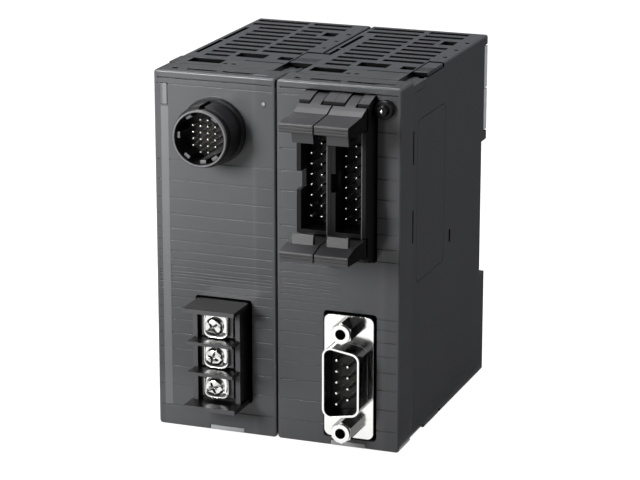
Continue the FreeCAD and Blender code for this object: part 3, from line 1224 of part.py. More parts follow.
def dsub():
    face = "-flange_front"
    behind = f"{face} + sheet"
    mouth = f"{face} - dsub_reach"
    plate = profile("flange_plate", "XZ_Plane",
                    rectangle(about("dsub_x", "flange_width / 2"),
                              about("dsub_z", "flange_height / 2")),
                    (face, behind), corner="flange_corner")
    tube = profile("d_tube", "XZ_Plane", d_outline("0"), (mouth, behind), corner="dsub_corner")
    bore = profile("d_bore", "XZ_Plane", d_outline("-sheet"),
                   (f"{mouth} - {PAST}", f"{behind} + {PAST}"), corner="dsub_corner - sheet")
    holes = [rod(f"flange_hole_{side + 1}", "y", ("dsub_x", f"dsub_z + {side} * jack_spacing / 2"),
                 (f"{face} - {PAST}", f"{behind} + {PAST}"), "jack_shank + pin_fit")
             for side in (-1, 1)]
    node("dsub_shell", cut("dsub_shell_whole", fuse("dsub_shell_body", [plate, tube]),
                           [bore] + holes), "right")

    front = f"{face} - dsub_insert_rise"
    core = profile("d_core", "XZ_Plane", d_outline("-sheet - pin_fit"), (front, behind),
                   corner="dsub_corner - sheet")
    block = box("d_block", about("dsub_x", "flange_width / 2 - flange_corner"),
                (behind, "front_board_y"), about("dsub_z", "flange_height / 2 - flange_corner"))
    holes = [rod(f"d_pin_hole_{k}", "y", place, (f"{front} - {PAST}", f"front_board_y + {PAST}"),
                 "dsub_pin_radius + pin_fit") for k, place in enumerate(dsub_pin_places())]
    holes += [rod(f"d_jack_hole_{side + 1}", "y",
                  ("dsub_x", f"dsub_z + {side} * jack_spacing / 2"),
                  (f"{face} - {PAST}", f"front_board_y + {PAST}"), "jack_shank + pin_fit")
              for side in (-1, 1)]
    node("dsub_insulator", cut("dsub_insulator_whole", fuse("d_insulator_body", [core, block]),
                               holes), "right")

    pins = []
    for k, place in enumerate(dsub_pin_places()):
        shaft = rod(f"d_pin_{k}", "y", place,
                    ("-dsub_pin_tip + dsub_pin_radius", "front_board_y"), "dsub_pin_radius")
        point = tip(f"d_pin_tip_{k}", place,
                    ("-dsub_pin_tip", "-dsub_pin_tip + dsub_pin_radius"),
                    ("dsub_pin_radius / 2", "dsub_pin_radius"))
        pins.append(fuse(f"d_pin_whole_{k}", [shaft, point]))
    node("dsub_pins", group("d_pin_group", pins), "right")

    jacks = []
    for side in (-1, 1):
        z = f"dsub_z + {side} * jack_spacing / 2"
        flat = "jack_across / 2"
        point = "(jack_across / sqrt(3))"
        hexagon = [("dsub_x - " + flat, f"{z} - {point} / 2"), ("dsub_x", f"{z} - {point}"),
                   ("dsub_x + " + flat, f"{z} - {point} / 2"),
                   ("dsub_x + " + flat, f"{z} + {point} / 2"), ("dsub_x", f"{z} + {point}"),
                   ("dsub_x - " + flat, f"{z} + {point} / 2")]
        collar_back = f"{face} - jack_reach + jack_collar"
        head = profile(f"jack_head_{side + 1}", "XZ_Plane", hexagon, (collar_back, face))
        collar = rod(f"jack_collar_{side + 1}", "y", ("dsub_x", z),
                     (f"{face} - jack_reach", collar_back), f"{flat} - jack_collar_inset")
        shank = rod(f"jack_shank_{side + 1}", "y", ("dsub_x", z), (face, "front_board_y"),
                    "jack_shank")
        bore = rod(f"jack_bore_{side + 1}", "y", ("dsub_x", z),
                   (f"{face} - jack_reach - {PAST}", f"{face} - jack_reach + jack_bore_depth"),
                   "jack_bore")
        body = fuse(f"jack_body_{side + 1}", [head, collar, shank])
        jacks.append(cut(f"jack_{side + 1}", body, [bore]))
    node("dsub_jack_screws", group("jack_group", jacks), "right")


# ---------------------------------------------------------------- the whole
for side in ("left", "right"):
    rear_case(side)
    back_plates(side)
    rail_catch(side)
    joining_slider(side, True)
    joining_slider(side, False)
    boards(side)
    board_parts(side)
    bus_plug(side)
left_cover()
right_cover()
bus_socket()
bus_cover()
indicators()
round_connector()
terminal_block()
for k, word in enumerate(("left", "right")):
    header_shroud(k, word)
    for end in (1, -1):
        latch(k, word, end)
dsub()
doc.recompute()

for thing in doc.Objects:
    if "Invalid" in thing.State or "Error" in thing.State:
        raise RuntimeError(f"{thing.Name} failed: {thing.State}")
for piece in nodes:
    if piece.Shape.isNull() or not piece.Shape.isValid():
        raise RuntimeError(f"{piece.Label} has no valid shape")

os.makedirs("parts", exist_ok=True)
for piece in nodes:
    piece.Shape.exportStep(f"parts/{piece.Label}.step")
    print(piece.Label, len(piece.Shape.Solids), round(piece.Shape.Volume, 2))
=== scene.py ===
import math

import bmesh
import bpy
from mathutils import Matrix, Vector


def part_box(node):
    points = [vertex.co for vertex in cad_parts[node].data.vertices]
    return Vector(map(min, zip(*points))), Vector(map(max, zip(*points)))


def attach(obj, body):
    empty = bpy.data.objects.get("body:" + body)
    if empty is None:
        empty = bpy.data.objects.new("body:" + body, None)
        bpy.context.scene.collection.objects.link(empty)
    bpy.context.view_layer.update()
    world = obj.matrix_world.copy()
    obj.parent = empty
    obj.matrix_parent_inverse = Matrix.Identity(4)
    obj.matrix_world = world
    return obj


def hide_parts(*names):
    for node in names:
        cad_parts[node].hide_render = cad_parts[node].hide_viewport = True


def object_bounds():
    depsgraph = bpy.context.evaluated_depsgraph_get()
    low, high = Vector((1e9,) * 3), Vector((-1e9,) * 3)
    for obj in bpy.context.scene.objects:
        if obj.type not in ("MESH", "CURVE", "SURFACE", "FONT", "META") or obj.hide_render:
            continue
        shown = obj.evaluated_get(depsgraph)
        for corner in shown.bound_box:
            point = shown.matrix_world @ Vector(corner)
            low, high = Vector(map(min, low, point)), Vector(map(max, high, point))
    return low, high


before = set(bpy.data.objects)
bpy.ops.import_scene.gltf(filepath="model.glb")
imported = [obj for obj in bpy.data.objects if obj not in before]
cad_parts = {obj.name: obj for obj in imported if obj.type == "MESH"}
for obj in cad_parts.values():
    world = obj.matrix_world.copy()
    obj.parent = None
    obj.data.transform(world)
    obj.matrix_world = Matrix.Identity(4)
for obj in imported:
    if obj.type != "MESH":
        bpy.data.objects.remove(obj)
cad_box = [list(corner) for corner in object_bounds()]


# ---------------------------------------------------------------- studio
# A pale seamless floor in a white room, a small key lamp close in at the front left, soft lamps
# above and at the right, and black cards that keep stray white out of the plating, the way small
# controls are lit for a catalogue. Nothing here belongs to the object.
MM = 0.001


def add(tree, kind, settings=None, links=None):
    """Adds one shader node, gives it its settings and feeds its sockets from other nodes."""
    made = tree.nodes.new(kind)
    for name, value in (settings or {}).items():
        if isinstance(name, str) and hasattr(made, name):
            setattr(made, name, value)
        else:
            made.inputs[name].default_value = value
    for name, source in (links or {}).items():
        tree.links.new(source, made.inputs[name])
    return made


def paint(code):
    """An sRGB hex colour as the linear colour that shaders take."""
    channels = [int(code[k:k + 2], 16) / 255 for k in (1, 3, 5)]
    return [c / 12.92 if c <= 0.04045 else ((c + 0.055) / 1.055) ** 2.4 for c in channels] + [1.0]


def seen_directly(tree):
    """1 where the camera, a mirror finish or clear plastic looks at the backdrop, else 0."""
    path = add(tree, "ShaderNodeLightPath")
    mirrored = add(tree, "ShaderNodeMath", {"operation": "MAXIMUM"},
                   {0: path.outputs["Is Camera Ray"], 1: path.outputs["Is Glossy Ray"]})
    return add(tree, "ShaderNodeMath", {"operation": "MAXIMUM"},
               {0: mirrored.outputs[0], 1: path.outputs["Is Transmission Ray"]}).outputs[0]


# a long lens, to the right of the front and a little above, so that uprights hardly converge
CAMERA_LENS, CAMERA_SENSOR = 146.02, 36               # mm
CAMERA_PLACE = (0.2205, -0.6215, 0.1762)              # metres
CAMERA_DOWN, CAMERA_TURN = 15.898, 20.575             # degrees
camera = bpy.data.objects.new("camera", bpy.data.cameras.new("camera"))
bpy.context.scene.collection.objects.link(camera)
camera.data.lens = CAMERA_LENS
camera.data.sensor_width = CAMERA_SENSOR
camera.location = CAMERA_PLACE
camera.rotation_euler = (math.radians(90 - CAMERA_DOWN), 0, math.radians(CAMERA_TURN))
bpy.context.scene.camera = camera
bpy.context.scene.view_settings.view_transform = "Standard"

FILL_LIGHT = 0.14                      # even light on matt surfaces, from the white room
world = bpy.data.worlds.new("white_room")
bpy.context.scene.world = world
world.use_nodes = True
room = world.node_tree
room.nodes.clear()
fill = add(room, "ShaderNodeBackground", {"Color": paint("#ffffff"), "Strength": FILL_LIGHT})
white = add(room, "ShaderNodeBackground", {"Color": paint("#ffffff"), "Strength": 1.0})
blend = add(room, "ShaderNodeMixShader", None,
            {0: seen_directly(room), 1: fill.outputs[0], 2: white.outputs[0]})
add(room, "ShaderNodeOutputWorld", None, {"Surface": blend.outputs[0]})

FLOOR_SIZE = 6.0                       # metres, far wider than the view
FLOOR_LEVEL = cad_box[0][2]
CARD_GLOW = 0.92                       # as a share of full white
floor_mesh = bpy.data.meshes.new("floor")
shape = bmesh.new()
bmesh.ops.create_grid(shape, x_segments=1, y_segments=1, size=FLOOR_SIZE / 2)
bmesh.ops.translate(shape, verts=shape.verts, vec=(0, 0, FLOOR_LEVEL))
shape.to_mesh(floor_mesh)
shape.free()
floor = bpy.data.objects.new("floor", floor_mesh)
bpy.context.scene.collection.objects.link(floor)
# white card: to the eye most of its white is a glow, and the lamps add the rest, so shadows stay
card = bpy.data.materials.new("white_card")
card.use_nodes = True
tree = card.node_tree
tree.nodes.clear()
lit = add(tree, "ShaderNodeBsdfDiffuse", {"Color": paint("#9a9a9a")})
glow = add(tree, "ShaderNodeEmission", {"Color": paint("#ffffff"), "Strength": CARD_GLOW})
both = add(tree, "ShaderNodeAddShader", None, {0: lit.outputs[0], 1: glow.outputs[0]})
look = add(tree, "ShaderNodeMixShader", None,
           {0: seen_directly(tree), 1: lit.outputs[0], 2: both.outputs[0]})
add(tree, "ShaderNodeOutputMaterial", None, {"Surface": look.outputs[0]})
floor_mesh.materials.append(card)


def lamp(name, place, aim, size, power, spread=180):
    """A square soft lamp, size in metres and power in watts, that looks at one place."""
    made = bpy.data.objects.new(name, bpy.data.lights.new(name, "AREA"))
    made.data.size = size
    made.data.energy = power
    made.data.spread = math.radians(spread)
    made.location = place
    made.rotation_euler = (Vector(aim) - Vector(place)).to_track_quat("-Z", "Y").to_euler()
    bpy.context.scene.collection.objects.link(made)


# the key lamp brightens the left cover, the top one the vents and latches, the side one the case
lamp("key_lamp", (-0.153, -0.349, 0.126), (-0.098, -0.064, 0.071), 0.12, 0.265, spread=60)
lamp("top_lamp", (-0.06, 0.00, 0.50), (0, -0.02, 0.04), 0.26, 2.3)
lamp("side_lamp", (0.45, 0.05, 0.25), (0.03, -0.02, 0.0), 0.30, 0.9)

# black card: matt, and it gives back next to nothing
black_card = bpy.data.materials.new("black_card")
black_card.use_nodes = True
tree = black_card.node_tree
tree.nodes.clear()
dull = add(tree, "ShaderNodeBsdfDiffuse", {"Color": paint("#050505")})
add(tree, "ShaderNodeOutputMaterial", None, {"Surface": dull.outputs[0]})
# only mirror finishes see the cards, and the two on the floor lie just above it; each has its
# middle, the directions of its two edges, and its width and height
ABOVE_FLOOR = FLOOR_LEVEL + 0.1 * MM
for name, middle, across, up, width, height in (
        ("right_flag", (0.085, 0.10, 0.10), (0, 1, 0), (0, 0, 1), 0.40, 0.29),
        ("back_flag", (-0.10, 0.55, 0.20), (1, 0, 0), (0, 0, 1), 1.2, 0.49),
        ("ceiling_flag", (0.0, 0.0, 0.80), (1, 0, 0), (0, 1, 0), 4.0, 4.0),
        ("ground_flag", (0.26, 0.05, ABOVE_FLOOR), (1, 0, 0), (0, 1, 0), 0.455, 1.2),
        ("front_flag", (-0.053, -0.150, ABOVE_FLOOR), (1, 0, 0), (-0.40, -0.92, 0), 0.045, 0.11)):
    across, up = Vector(across) * width / 2, Vector(up) * height / 2
    mesh = bpy.data.meshes.new(name)
    shape = bmesh.new()
    shape.faces.new([shape.verts.new(Vector(middle) + a * across + b * up)
                     for a, b in ((-1, -1), (1, -1), (1, 1), (-1, 1))])
    shape.to_mesh(mesh)
    shape.free()
    held = bpy.data.objects.new(name, mesh)
    bpy.context.scene.collection.objects.link(held)
    for ray in ("camera", "diffuse", "transmission", "volume_scatter", "shadow"):
        setattr(held, f"visible_{ray}", False)
    mesh.materials.append(black_card)


# ---------------------------------------------------------------- rear cases
# The two deep shells that hold the boards, with their joining sliders and the cover over the bus
# opening. They are injection moulded from dark grey ABS in a spark-eroded tool.
ERODED_GRAIN = 0.35 * MM               # real grain is 0.05 mm, drawn coarser so that it shows
EDGE_RADIUS = 0.18 * MM                # moulded edges are never quite sharp
NOOK = 30 * MM                         # what lies deeper than this gets no light from outside
VENTS_FROM, VENTS_TO = 42.6 * MM, 43.0 * MM     # heights over which the vents of the top begin
LEVEL_EASE = 0.2                       # level faces up there turn black that much later
FALL = 0.15                            # from black to full colour, as a share of open sky
SLOT_BLACK, VENT_BLACK = 0.38, 0.84    # shares of open sky below which a place is painted black as shade


def dress(material, *nodes):
    """Gives CAD pieces a finish in place of the plain one they come with."""
    for name in nodes:
        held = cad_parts[name].data.materials
        held.clear()
        held.append(material)


def openness(tree, place, nook, first, vent):
    """1 out in the open, 0 down in slots: the mask for the shade painted into colours.

    A place is black where it sees less than a share of open sky: the share is first below the
    top, and vent on the walls of the vents, which turn black soonest.
    """
    reach = add(tree, "ShaderNodeAmbientOcclusion", {"samples": 12, "Distance": nook})
    height = add(tree, "ShaderNodeSeparateXYZ", None, {0: place}).outputs["Z"]
    upward = add(tree, "ShaderNodeSeparateXYZ", None,
                 {0: add(tree, "ShaderNodeNewGeometry").outputs["Normal"]}).outputs["Z"]
    wall = add(tree, "ShaderNodeMapRange", {"To Min": vent, "To Max": vent - LEVEL_EASE},
               {"Value": upward})
    start = add(tree, "ShaderNodeMapRange",
                {"From Min": VENTS_FROM, "From Max": VENTS_TO, "To Min": first},
                {"Value": height, "To Max": wall.outputs[0]})
    end = add(tree, "ShaderNodeMath", {"operation": "ADD", 1: FALL}, {0: start.outputs[0]})
    return add(tree, "ShaderNodeMapRange", None,
               {"Value": reach.outputs["AO"], "From Min": start.outputs[0],
                "From Max": end.outputs[0]}).outputs[0]


SQUARE_FROM, SQUARE_TO = 0.7, 0.95     # how much of a face's normal lies along the axis


def facing(tree, axis):
    """1 on faces that look squarely along an axis, either way, and 0 on the others."""
    normal = add(tree, "ShaderNodeSeparateXYZ", None,
                 {0: add(tree, "ShaderNodeNewGeometry").outputs["Normal"]})
    size = add(tree, "ShaderNodeMath", {"operation": "ABSOLUTE"}, {0: normal.outputs[axis]})
    return add(tree, "ShaderNodeMapRange", {"From Min": SQUARE_FROM, "From Max": SQUARE_TO},
               {"Value": size.outputs[0]}).outputs[0]


CLOUD_SIZE = 9 * MM                    # melt fronts cool at different times and leave faint clouds
CLOUD_GLOSS = 0.05                     # roughness rises and falls by this much with them


def moulded(name, colour, mottled, roughness, grain, depth, specular=0.5, nook=0.0, shaded_flanks=None):
    """Moulded plastic: a faintly cloudy colour and a fine grain under soft edges.

    The grain is 0.02 to 0.05 mm on real pieces and is drawn coarser, so that it shows. With nook,
    slots and gaps are painted black as shade. With flanks, a pair of axes and a colour, the faces
    that look along those axes take that colour as painted shade.
    """
    made = bpy.data.materials.new(name)
    made.use_nodes = True
    tree = made.node_tree
    tree.nodes.clear()
    place = add(tree, "ShaderNodeTexCoord").outputs["Object"]
    clouds = add(tree, "ShaderNodeTexNoise", {"Scale": 1 / CLOUD_SIZE, "Detail": 3.0},
                 {"Vector": place})
    tone = add(tree, "ShaderNodeMix", {"data_type": "RGBA", 6: paint(colour), 7: paint(mottled)},
               {0: clouds.outputs["Fac"]}).outputs[2]
    if shaded_flanks:
        for axis in shaded_flanks[0]:
            tone = add(tree, "ShaderNodeMix", {"data_type": "RGBA", 7: paint(shaded_flanks[1])},
                       {0: facing(tree, axis), 6: tone}).outputs[2]
    if nook:
        painted_shade = openness(tree, place, nook, SLOT_BLACK, VENT_BLACK)
        tone = add(tree, "ShaderNodeMix", {"data_type": "RGBA", 6: paint("#020202")},
                   {0: painted_shade, 7: tone}).outputs[2]
    pits = add(tree, "ShaderNodeTexNoise", {"Scale": 1 / grain, "Detail": 2.0}, {"Vector": place})
    wear = add(tree, "ShaderNodeMapRange",
               {"To Min": roughness - CLOUD_GLOSS, "To Max": roughness + CLOUD_GLOSS},
               {"Value": clouds.outputs["Fac"]})
    edges = add(tree, "ShaderNodeBevel", {"samples": 4, "Radius": EDGE_RADIUS})
    relief = add(tree, "ShaderNodeBump", {"Strength": 1.0, "Distance": depth},
                 {"Height": pits.outputs["Fac"], "Normal": edges.outputs[0]})
    plastic = add(tree, "ShaderNodeBsdfPrincipled", {"IOR": 1.52, "Specular IOR Level": specular},
                  {"Base Color": tone, "Roughness": wear.outputs[0], "Normal": relief.outputs[0]})
    add(tree, "ShaderNodeOutputMaterial", None, {"Surface": plastic.outputs[0]})
    return made


# ABS from an eroded tool: a matt, faintly pebbled grey that scatters light evenly. Its pits trap
# nearly all of its gloss, and painted shade turns the walls of the vents and its gaps black.
case_abs = moulded("spark_eroded_abs", "#4c4d50", "#505154", 0.58, ERODED_GRAIN, 0.012 * MM,
                   specular=0.08, nook=NOOK)
dress(case_abs, "left_rear_case", "right_rear_case", "left_top_slider", "left_bottom_slider",
      "right_top_slider", "right_bottom_slider", "right_bus_cover")


# ---------------------------------------------------------------- front covers
# Smoked, glossy polycarbonate shells that snap over the cases. Their flat faces carry fine cross
# grooves, and faint upright bands in their colour are partly what stands behind the skin showing
# through, partly painted light and shade.
SMOKE_CLOUD, SKIN_WAVE = 14 * MM, 5 * MM         # how far its tone and its flatness drift
SKIN_RELIEF, SKIN_EDGE = 0.004 * MM, 0.12 * MM
COVER_NOOK, COVER_BLACK, COVER_VENT_BLACK = 12 * MM, 0.03, 0.6     # its grooves stay pale
COVER_LEFT, COVER_RIGHT = -31.5 * MM, 31.5 * MM
# Polycarbonate from a polished tool, tinted with a little carbon: a deep grey under a thin gloss
cover_pc = bpy.data.materials.new("smoked_polycarbonate")
cover_pc.use_nodes = True
tree = cover_pc.node_tree
tree.nodes.clear()
place = add(tree, "ShaderNodeTexCoord").outputs["Object"]
clouds = add(tree, "ShaderNodeTexNoise", {"Scale": 1 / SMOKE_CLOUD, "Detail": 2.0},
             {"Vector": place})
smoke = add(tree, "ShaderNodeMix",
            {"data_type": "RGBA", 6: paint("#58595b"), 7: paint("#606163")},
            {0: clouds.outputs["Fac"]})
# ribs behind the skin, and painted light and shade: a share of the way across the two covers, and
# a grey of which #bcbcbc leaves the skin as it is
axes = add(tree, "ShaderNodeSeparateXYZ", None, {0: place})
wide = add(tree, "ShaderNodeMapRange", {"From Min": COVER_LEFT, "From Max": COVER_RIGHT},
           {"Value": axes.outputs["X"]})
bands = add(tree, "ShaderNodeValToRGB", None, {0: wide.outputs[0]})
ramp = bands.color_ramp
ribs_and_light_bands = ((0.0, "#b0b0b0"), (0.022, "#b0b0b0"), (0.028, "#bcbcbc"), (0.40, "#bcbcbc"),
        (0.41, "#c4c4c4"), (0.425, "#b6b6b6"), (0.50, "#b0b0b0"), (0.51, "#c2c2c2"),
        (0.55, "#bcbcbc"), (0.90, "#b8b8b8"), (0.93, "#c0c0c0"), (0.95, "#b0b0b0"),
        (1.0, "#b0b0b0"))
for share, grey in ribs_and_light_bands[1:-1]:
    ramp.elements.new(share)
for stop, (share, grey) in zip(ramp.elements, ribs_and_light_bands):
    stop.color = paint(grey)
shown = add(tree, "ShaderNodeMix", {"data_type": "RGBA", "blend_type": "OVERLAY", 0: 1.0},
            {6: smoke.outputs[2], 7: bands.outputs[0]})
# painted shade: the vents in the top fall off to black, the shallow grooves of the face hardly do
tone = add(tree, "ShaderNodeMix", {"data_type": "RGBA", 6: paint("#060606")},
           {0: openness(tree, place, COVER_NOOK, COVER_BLACK, COVER_VENT_BLACK),
            7: shown.outputs[2]})
waves = add(tree, "ShaderNodeTexNoise", {"Scale": 1 / SKIN_WAVE, "Detail": 1.0}, {"Vector": place})
edges = add(tree, "ShaderNodeBevel", {"samples": 4, "Radius": SKIN_EDGE})
relief = add(tree, "ShaderNodeBump", {"Strength": 1.0, "Distance": SKIN_RELIEF},
             {"Height": waves.outputs["Fac"], "Normal": edges.outputs[0]})
skin = add(tree, "ShaderNodeBsdfPrincipled",
           {"IOR": 1.58, "Roughness": 0.2, "Specular IOR Level": 0.25},
           {"Base Color": tone.outputs[2], "Normal": relief.outputs[0]})
add(tree, "ShaderNodeOutputMaterial", None, {"Surface": skin.outputs[0]})
dress(cover_pc, "left_front_cover", "right_front_cover")


SHARP_BEND = 35                        # degrees; gentler bends are shaded smooth


def piece(name, shape, finish, body, slot, *stands_for):
    """Turns a finished shape into a piece that rides on a body and may stand for CAD nodes."""
    bmesh.ops.recalc_face_normals(shape, faces=shape.faces)
    mesh = bpy.data.meshes.new(name)
    shape.to_mesh(mesh)
    shape.free()
    mesh.polygons.foreach_set("use_smooth", [True] * len(mesh.polygons))
    mesh.set_sharp_from_angle(angle=math.radians(SHARP_BEND))
    mesh.materials.append(finish)
    made = bpy.data.objects.new(name, mesh)
    bpy.context.scene.collection.objects.link(made)
    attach(made, body)
    if stands_for:
        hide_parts(*stands_for)


def block(shape, low, high, bevel=0.0):
    """Adds a box between two corners in mm, with its edges rounded over."""
    corners = [shape.verts.new(Vector((x, y, z)) * MM) for x in (low[0], high[0])
               for y in (low[1], high[1]) for z in (low[2], high[2])]
    sides = [shape.faces.new([corners[k] for k in loop]) for loop in
             ((0, 1, 3, 2), (4, 6, 7, 5), (0, 4, 5, 1), (2, 3, 7, 6), (0, 2, 6, 4), (1, 5, 7, 3))]
    if bevel:
        lines = list({line for side in sides for line in side.edges})
        bmesh.ops.bevel(shape, geom=lines, offset=bevel * MM, segments=2, profile=0.5,
                        affect="EDGES")


# Pale silicone stops are pressed into the notches at the covers' feet; they are matt and soft.
# Their pale colour is partly painted light, for the light that falls on the notches.
silicone_and_light = moulded("pale_silicone", "#c0c1c3", "#cacbcd", 0.5, 0.3 * MM, 0.004 * MM)
STOP_FRONT, STOP_BACK = -63.95, -62.9
STOP_LOW, STOP_HIGH = -44.95, -43.75
for side, low, high in (("left", -17.7, -8.8), ("right", 13.95, 22.85)):
    shape = bmesh.new()
    block(shape, (low, STOP_FRONT, STOP_LOW), (high, STOP_BACK, STOP_HIGH), bevel=0.2)
    piece(f"{side}_foot_stop", shape, silicone_and_light, "housings", "cover_plastic")


# ---------------------------------------------------------------- lamps of the left cover
# A clear light guide and a round lens lead the light of small diodes to the face, and a plain
# label strip is set into the cover below them.
HAZE_SIZE, HAZE_DRIFT = 0.9 * MM, 0.25 * MM
CLEAR_EDGE = 0.2 * MM


def clear_plastic(name, dark, bright, middle, near, far):
    """Clear acrylic over a dark space, with a painted highlight near its middle.

    The middle is a place (x, z) in mm, or a whole upright line where z is None. The brightness
    falls off between the near and the far distance, and a faint haze makes it uneven.
    """
    made = bpy.data.materials.new(name)
    made.use_nodes = True
    tree = made.node_tree
    tree.nodes.clear()
    place = add(tree, "ShaderNodeTexCoord").outputs["Object"]
    flat = add(tree, "ShaderNodeMapping", {"Scale": (1, 0, 1) if middle[1] else (1, 0, 0)},
               {"Vector": place})
    way = add(tree, "ShaderNodeVectorMath",
              {"operation": "DISTANCE", 1: (middle[0] * MM, 0, (middle[1] or 0) * MM)},
              {0: flat.outputs[0]})
    haze = add(tree, "ShaderNodeTexNoise", {"Scale": 1 / HAZE_SIZE, "Detail": 1.0},
               {"Vector": place})
    shift = add(tree, "ShaderNodeMath", {"operation": "MULTIPLY_ADD", 1: HAZE_DRIFT},
                {0: haze.outputs["Fac"], 2: way.outputs["Value"]})
    glint = add(tree, "ShaderNodeMapRange",
                {"From Min": near * MM, "From Max": far * MM, "To Min": 1.0, "To Max": 0.0},
                {"Value": shift.outputs[0]})
    tone = add(tree, "ShaderNodeMix", {"data_type": "RGBA", 6: paint(dark), 7: paint(bright)},
               {0: glint.outputs[0]})
    edges = add(tree, "ShaderNodeBevel", {"samples": 4, "Radius": CLEAR_EDGE})
    clear = add(tree, "ShaderNodeBsdfPrincipled", {"IOR": 1.49, "Roughness": 0.2},
                {"Base Color": tone.outputs[2], "Normal": edges.outputs[0]})
    add(tree, "ShaderNodeOutputMaterial", None, {"Surface": clear.outputs[0]})
    return made


# Clear acrylic from a polished tool, with painted highlights: one pale upright streak on the
# guide, one spot on the lens
dress(clear_plastic("light_guide_acrylic", "#646567", "#808183", (-28.55, None), 0.5, 0.95),
      "left_light_guide")
dress(clear_plastic("lens_acrylic", "#5e5f61", "#b4b4b4", (-3.05, 38.7), 0.25, 0.65),
      "left_power_lens")
# Matt polyester film: an even satin grey, a little lighter than the smoked cover round it
strip_film = moulded("matt_polyester_film", "#6a6b6d", "#717274", 0.38, 0.4 * MM, 0.004 * MM)
dress(strip_film, "left_label_strip")
# Epoxy cast in small cups: milky, smooth and almost white
lamp_epoxy = moulded("diode_epoxy", "#d8d8c8", "#e2e2d6", 0.3, 0.5 * MM, 0.002 * MM)
dress(lamp_epoxy, "left_lamps")


# ---------------------------------------------------------------- back plates
# Rolled steel plates across the top of the back of each housing, blanked, plated and then held by
# the case.
ROLLED_LINE, ROLLED_STRETCH = 0.25 * MM, 0.08     # the lines run on along x for over 3 mm
SPANGLE, BLANKED_EDGE = 2.5 * MM, 0.2 * MM
ZINC_SMOOTH, ZINC_ROUGH = 0.34, 0.50
# Zinc plate, passivated: a cool light grey with a faint spangle and lines along the rolling
# direction. The milky passivation scatters light as a pale paint does, so little of it is metal.
zinc = bpy.data.materials.new("zinc_plated_steel")
zinc.use_nodes = True
tree = zinc.node_tree
tree.nodes.clear()
place = add(tree, "ShaderNodeTexCoord").outputs["Object"]
stretch = add(tree, "ShaderNodeMapping", {"Scale": (ROLLED_STRETCH, 1.0, 1.0)},
              {"Vector": place})
lines = add(tree, "ShaderNodeTexNoise", {"Scale": 1 / ROLLED_LINE, "Detail": 3.0},
            {"Vector": stretch.outputs[0]})
flakes = add(tree, "ShaderNodeTexVoronoi", {"Scale": 1 / SPANGLE}, {"Vector": place})
tone = add(tree, "ShaderNodeMix", {"data_type": "RGBA", 6: paint("#d8dbde"), 7: paint("#e8eaec")},
           {0: flakes.outputs["Distance"]})
gloss = add(tree, "ShaderNodeMapRange", {"To Min": ZINC_SMOOTH, "To Max": ZINC_ROUGH},
            {"Value": lines.outputs["Fac"]})
edges = add(tree, "ShaderNodeBevel", {"samples": 4, "Radius": BLANKED_EDGE})
plate = add(tree, "ShaderNodeBsdfPrincipled", {"Metallic": 0.15},
            {"Base Color": tone.outputs[2], "Roughness": gloss.outputs[0],
             "Normal": edges.outputs[0]})
add(tree, "ShaderNodeOutputMaterial", None, {"Surface": plate.outputs[0]})
dress(zinc, "left_back_plates", "right_back_plates")


# ---------------------------------------------------------------- rail catches and box headers
# The rail catches slide in the cases. The two box headers are soldered to the front board, and
# each has an upper and a lower latch that swing on pins in its cheeks. All are moulded nylon.
HEADER_ROWS, HEADER_PITCH = 8, 2.54    # sizes and places of the pieces are in mm
HEADER_Z = 22.75                       # height of the headers' middle
LATCH_PIVOT_Y, LATCH_PIVOT_UP = -63.5, 16.55          # the latches' pins, up and down from it
# a latch's back begins LATCH_HEEL above its pin and falls by LATCH_FALL over its run forward
LATCH_RUN, LATCH_HEEL, LATCH_FALL = 10.0, 3.4, 2.95
# Nylon with glass fibres: near black and dull, with a faint fibrous surface
# painted shade turns its slots and gaps black
nylon = moulded("glass_filled_nylon", "#131314", "#171718", 0.42, 0.3 * MM, 0.006 * MM,
                specular=0.15, nook=6 * MM)
# Unfilled nylon from a polished tool: a satin that catches the lamps on its backs and lips, while
# its flanks, which slide along the cheeks, are painted black as shade, and so are its slots
latch_nylon = moulded("satin_nylon", "#3b3b3d", "#424244", 0.34, 0.3 * MM, 0.006 * MM,
                      nook=6 * MM, shaded_flanks=("X", "#0c0c0d"))
dress(nylon, "left_rail_catch", "right_rail_catch", "left_header_shroud", "right_header_shroud")
dress(latch_nylon, "left_header_upper_latch", "left_header_lower_latch",
      "right_header_upper_latch", "right_header_lower_latch")


PLATE_CLOUD, PLATE_EDGE = 2 * MM, 0.1 * MM
GLOSS_LEAST, GLOSS_MOST = 0.7, 1.3     # the roughness varies between these shares of itself
SHADE_FULL, SHADE_NONE = 0.3, 0.8      # shares of open sky between which the painted shade thins out
WALL_FROM, WALL_TO = -0.55, -0.85      # from a side wall to a face that looks forward


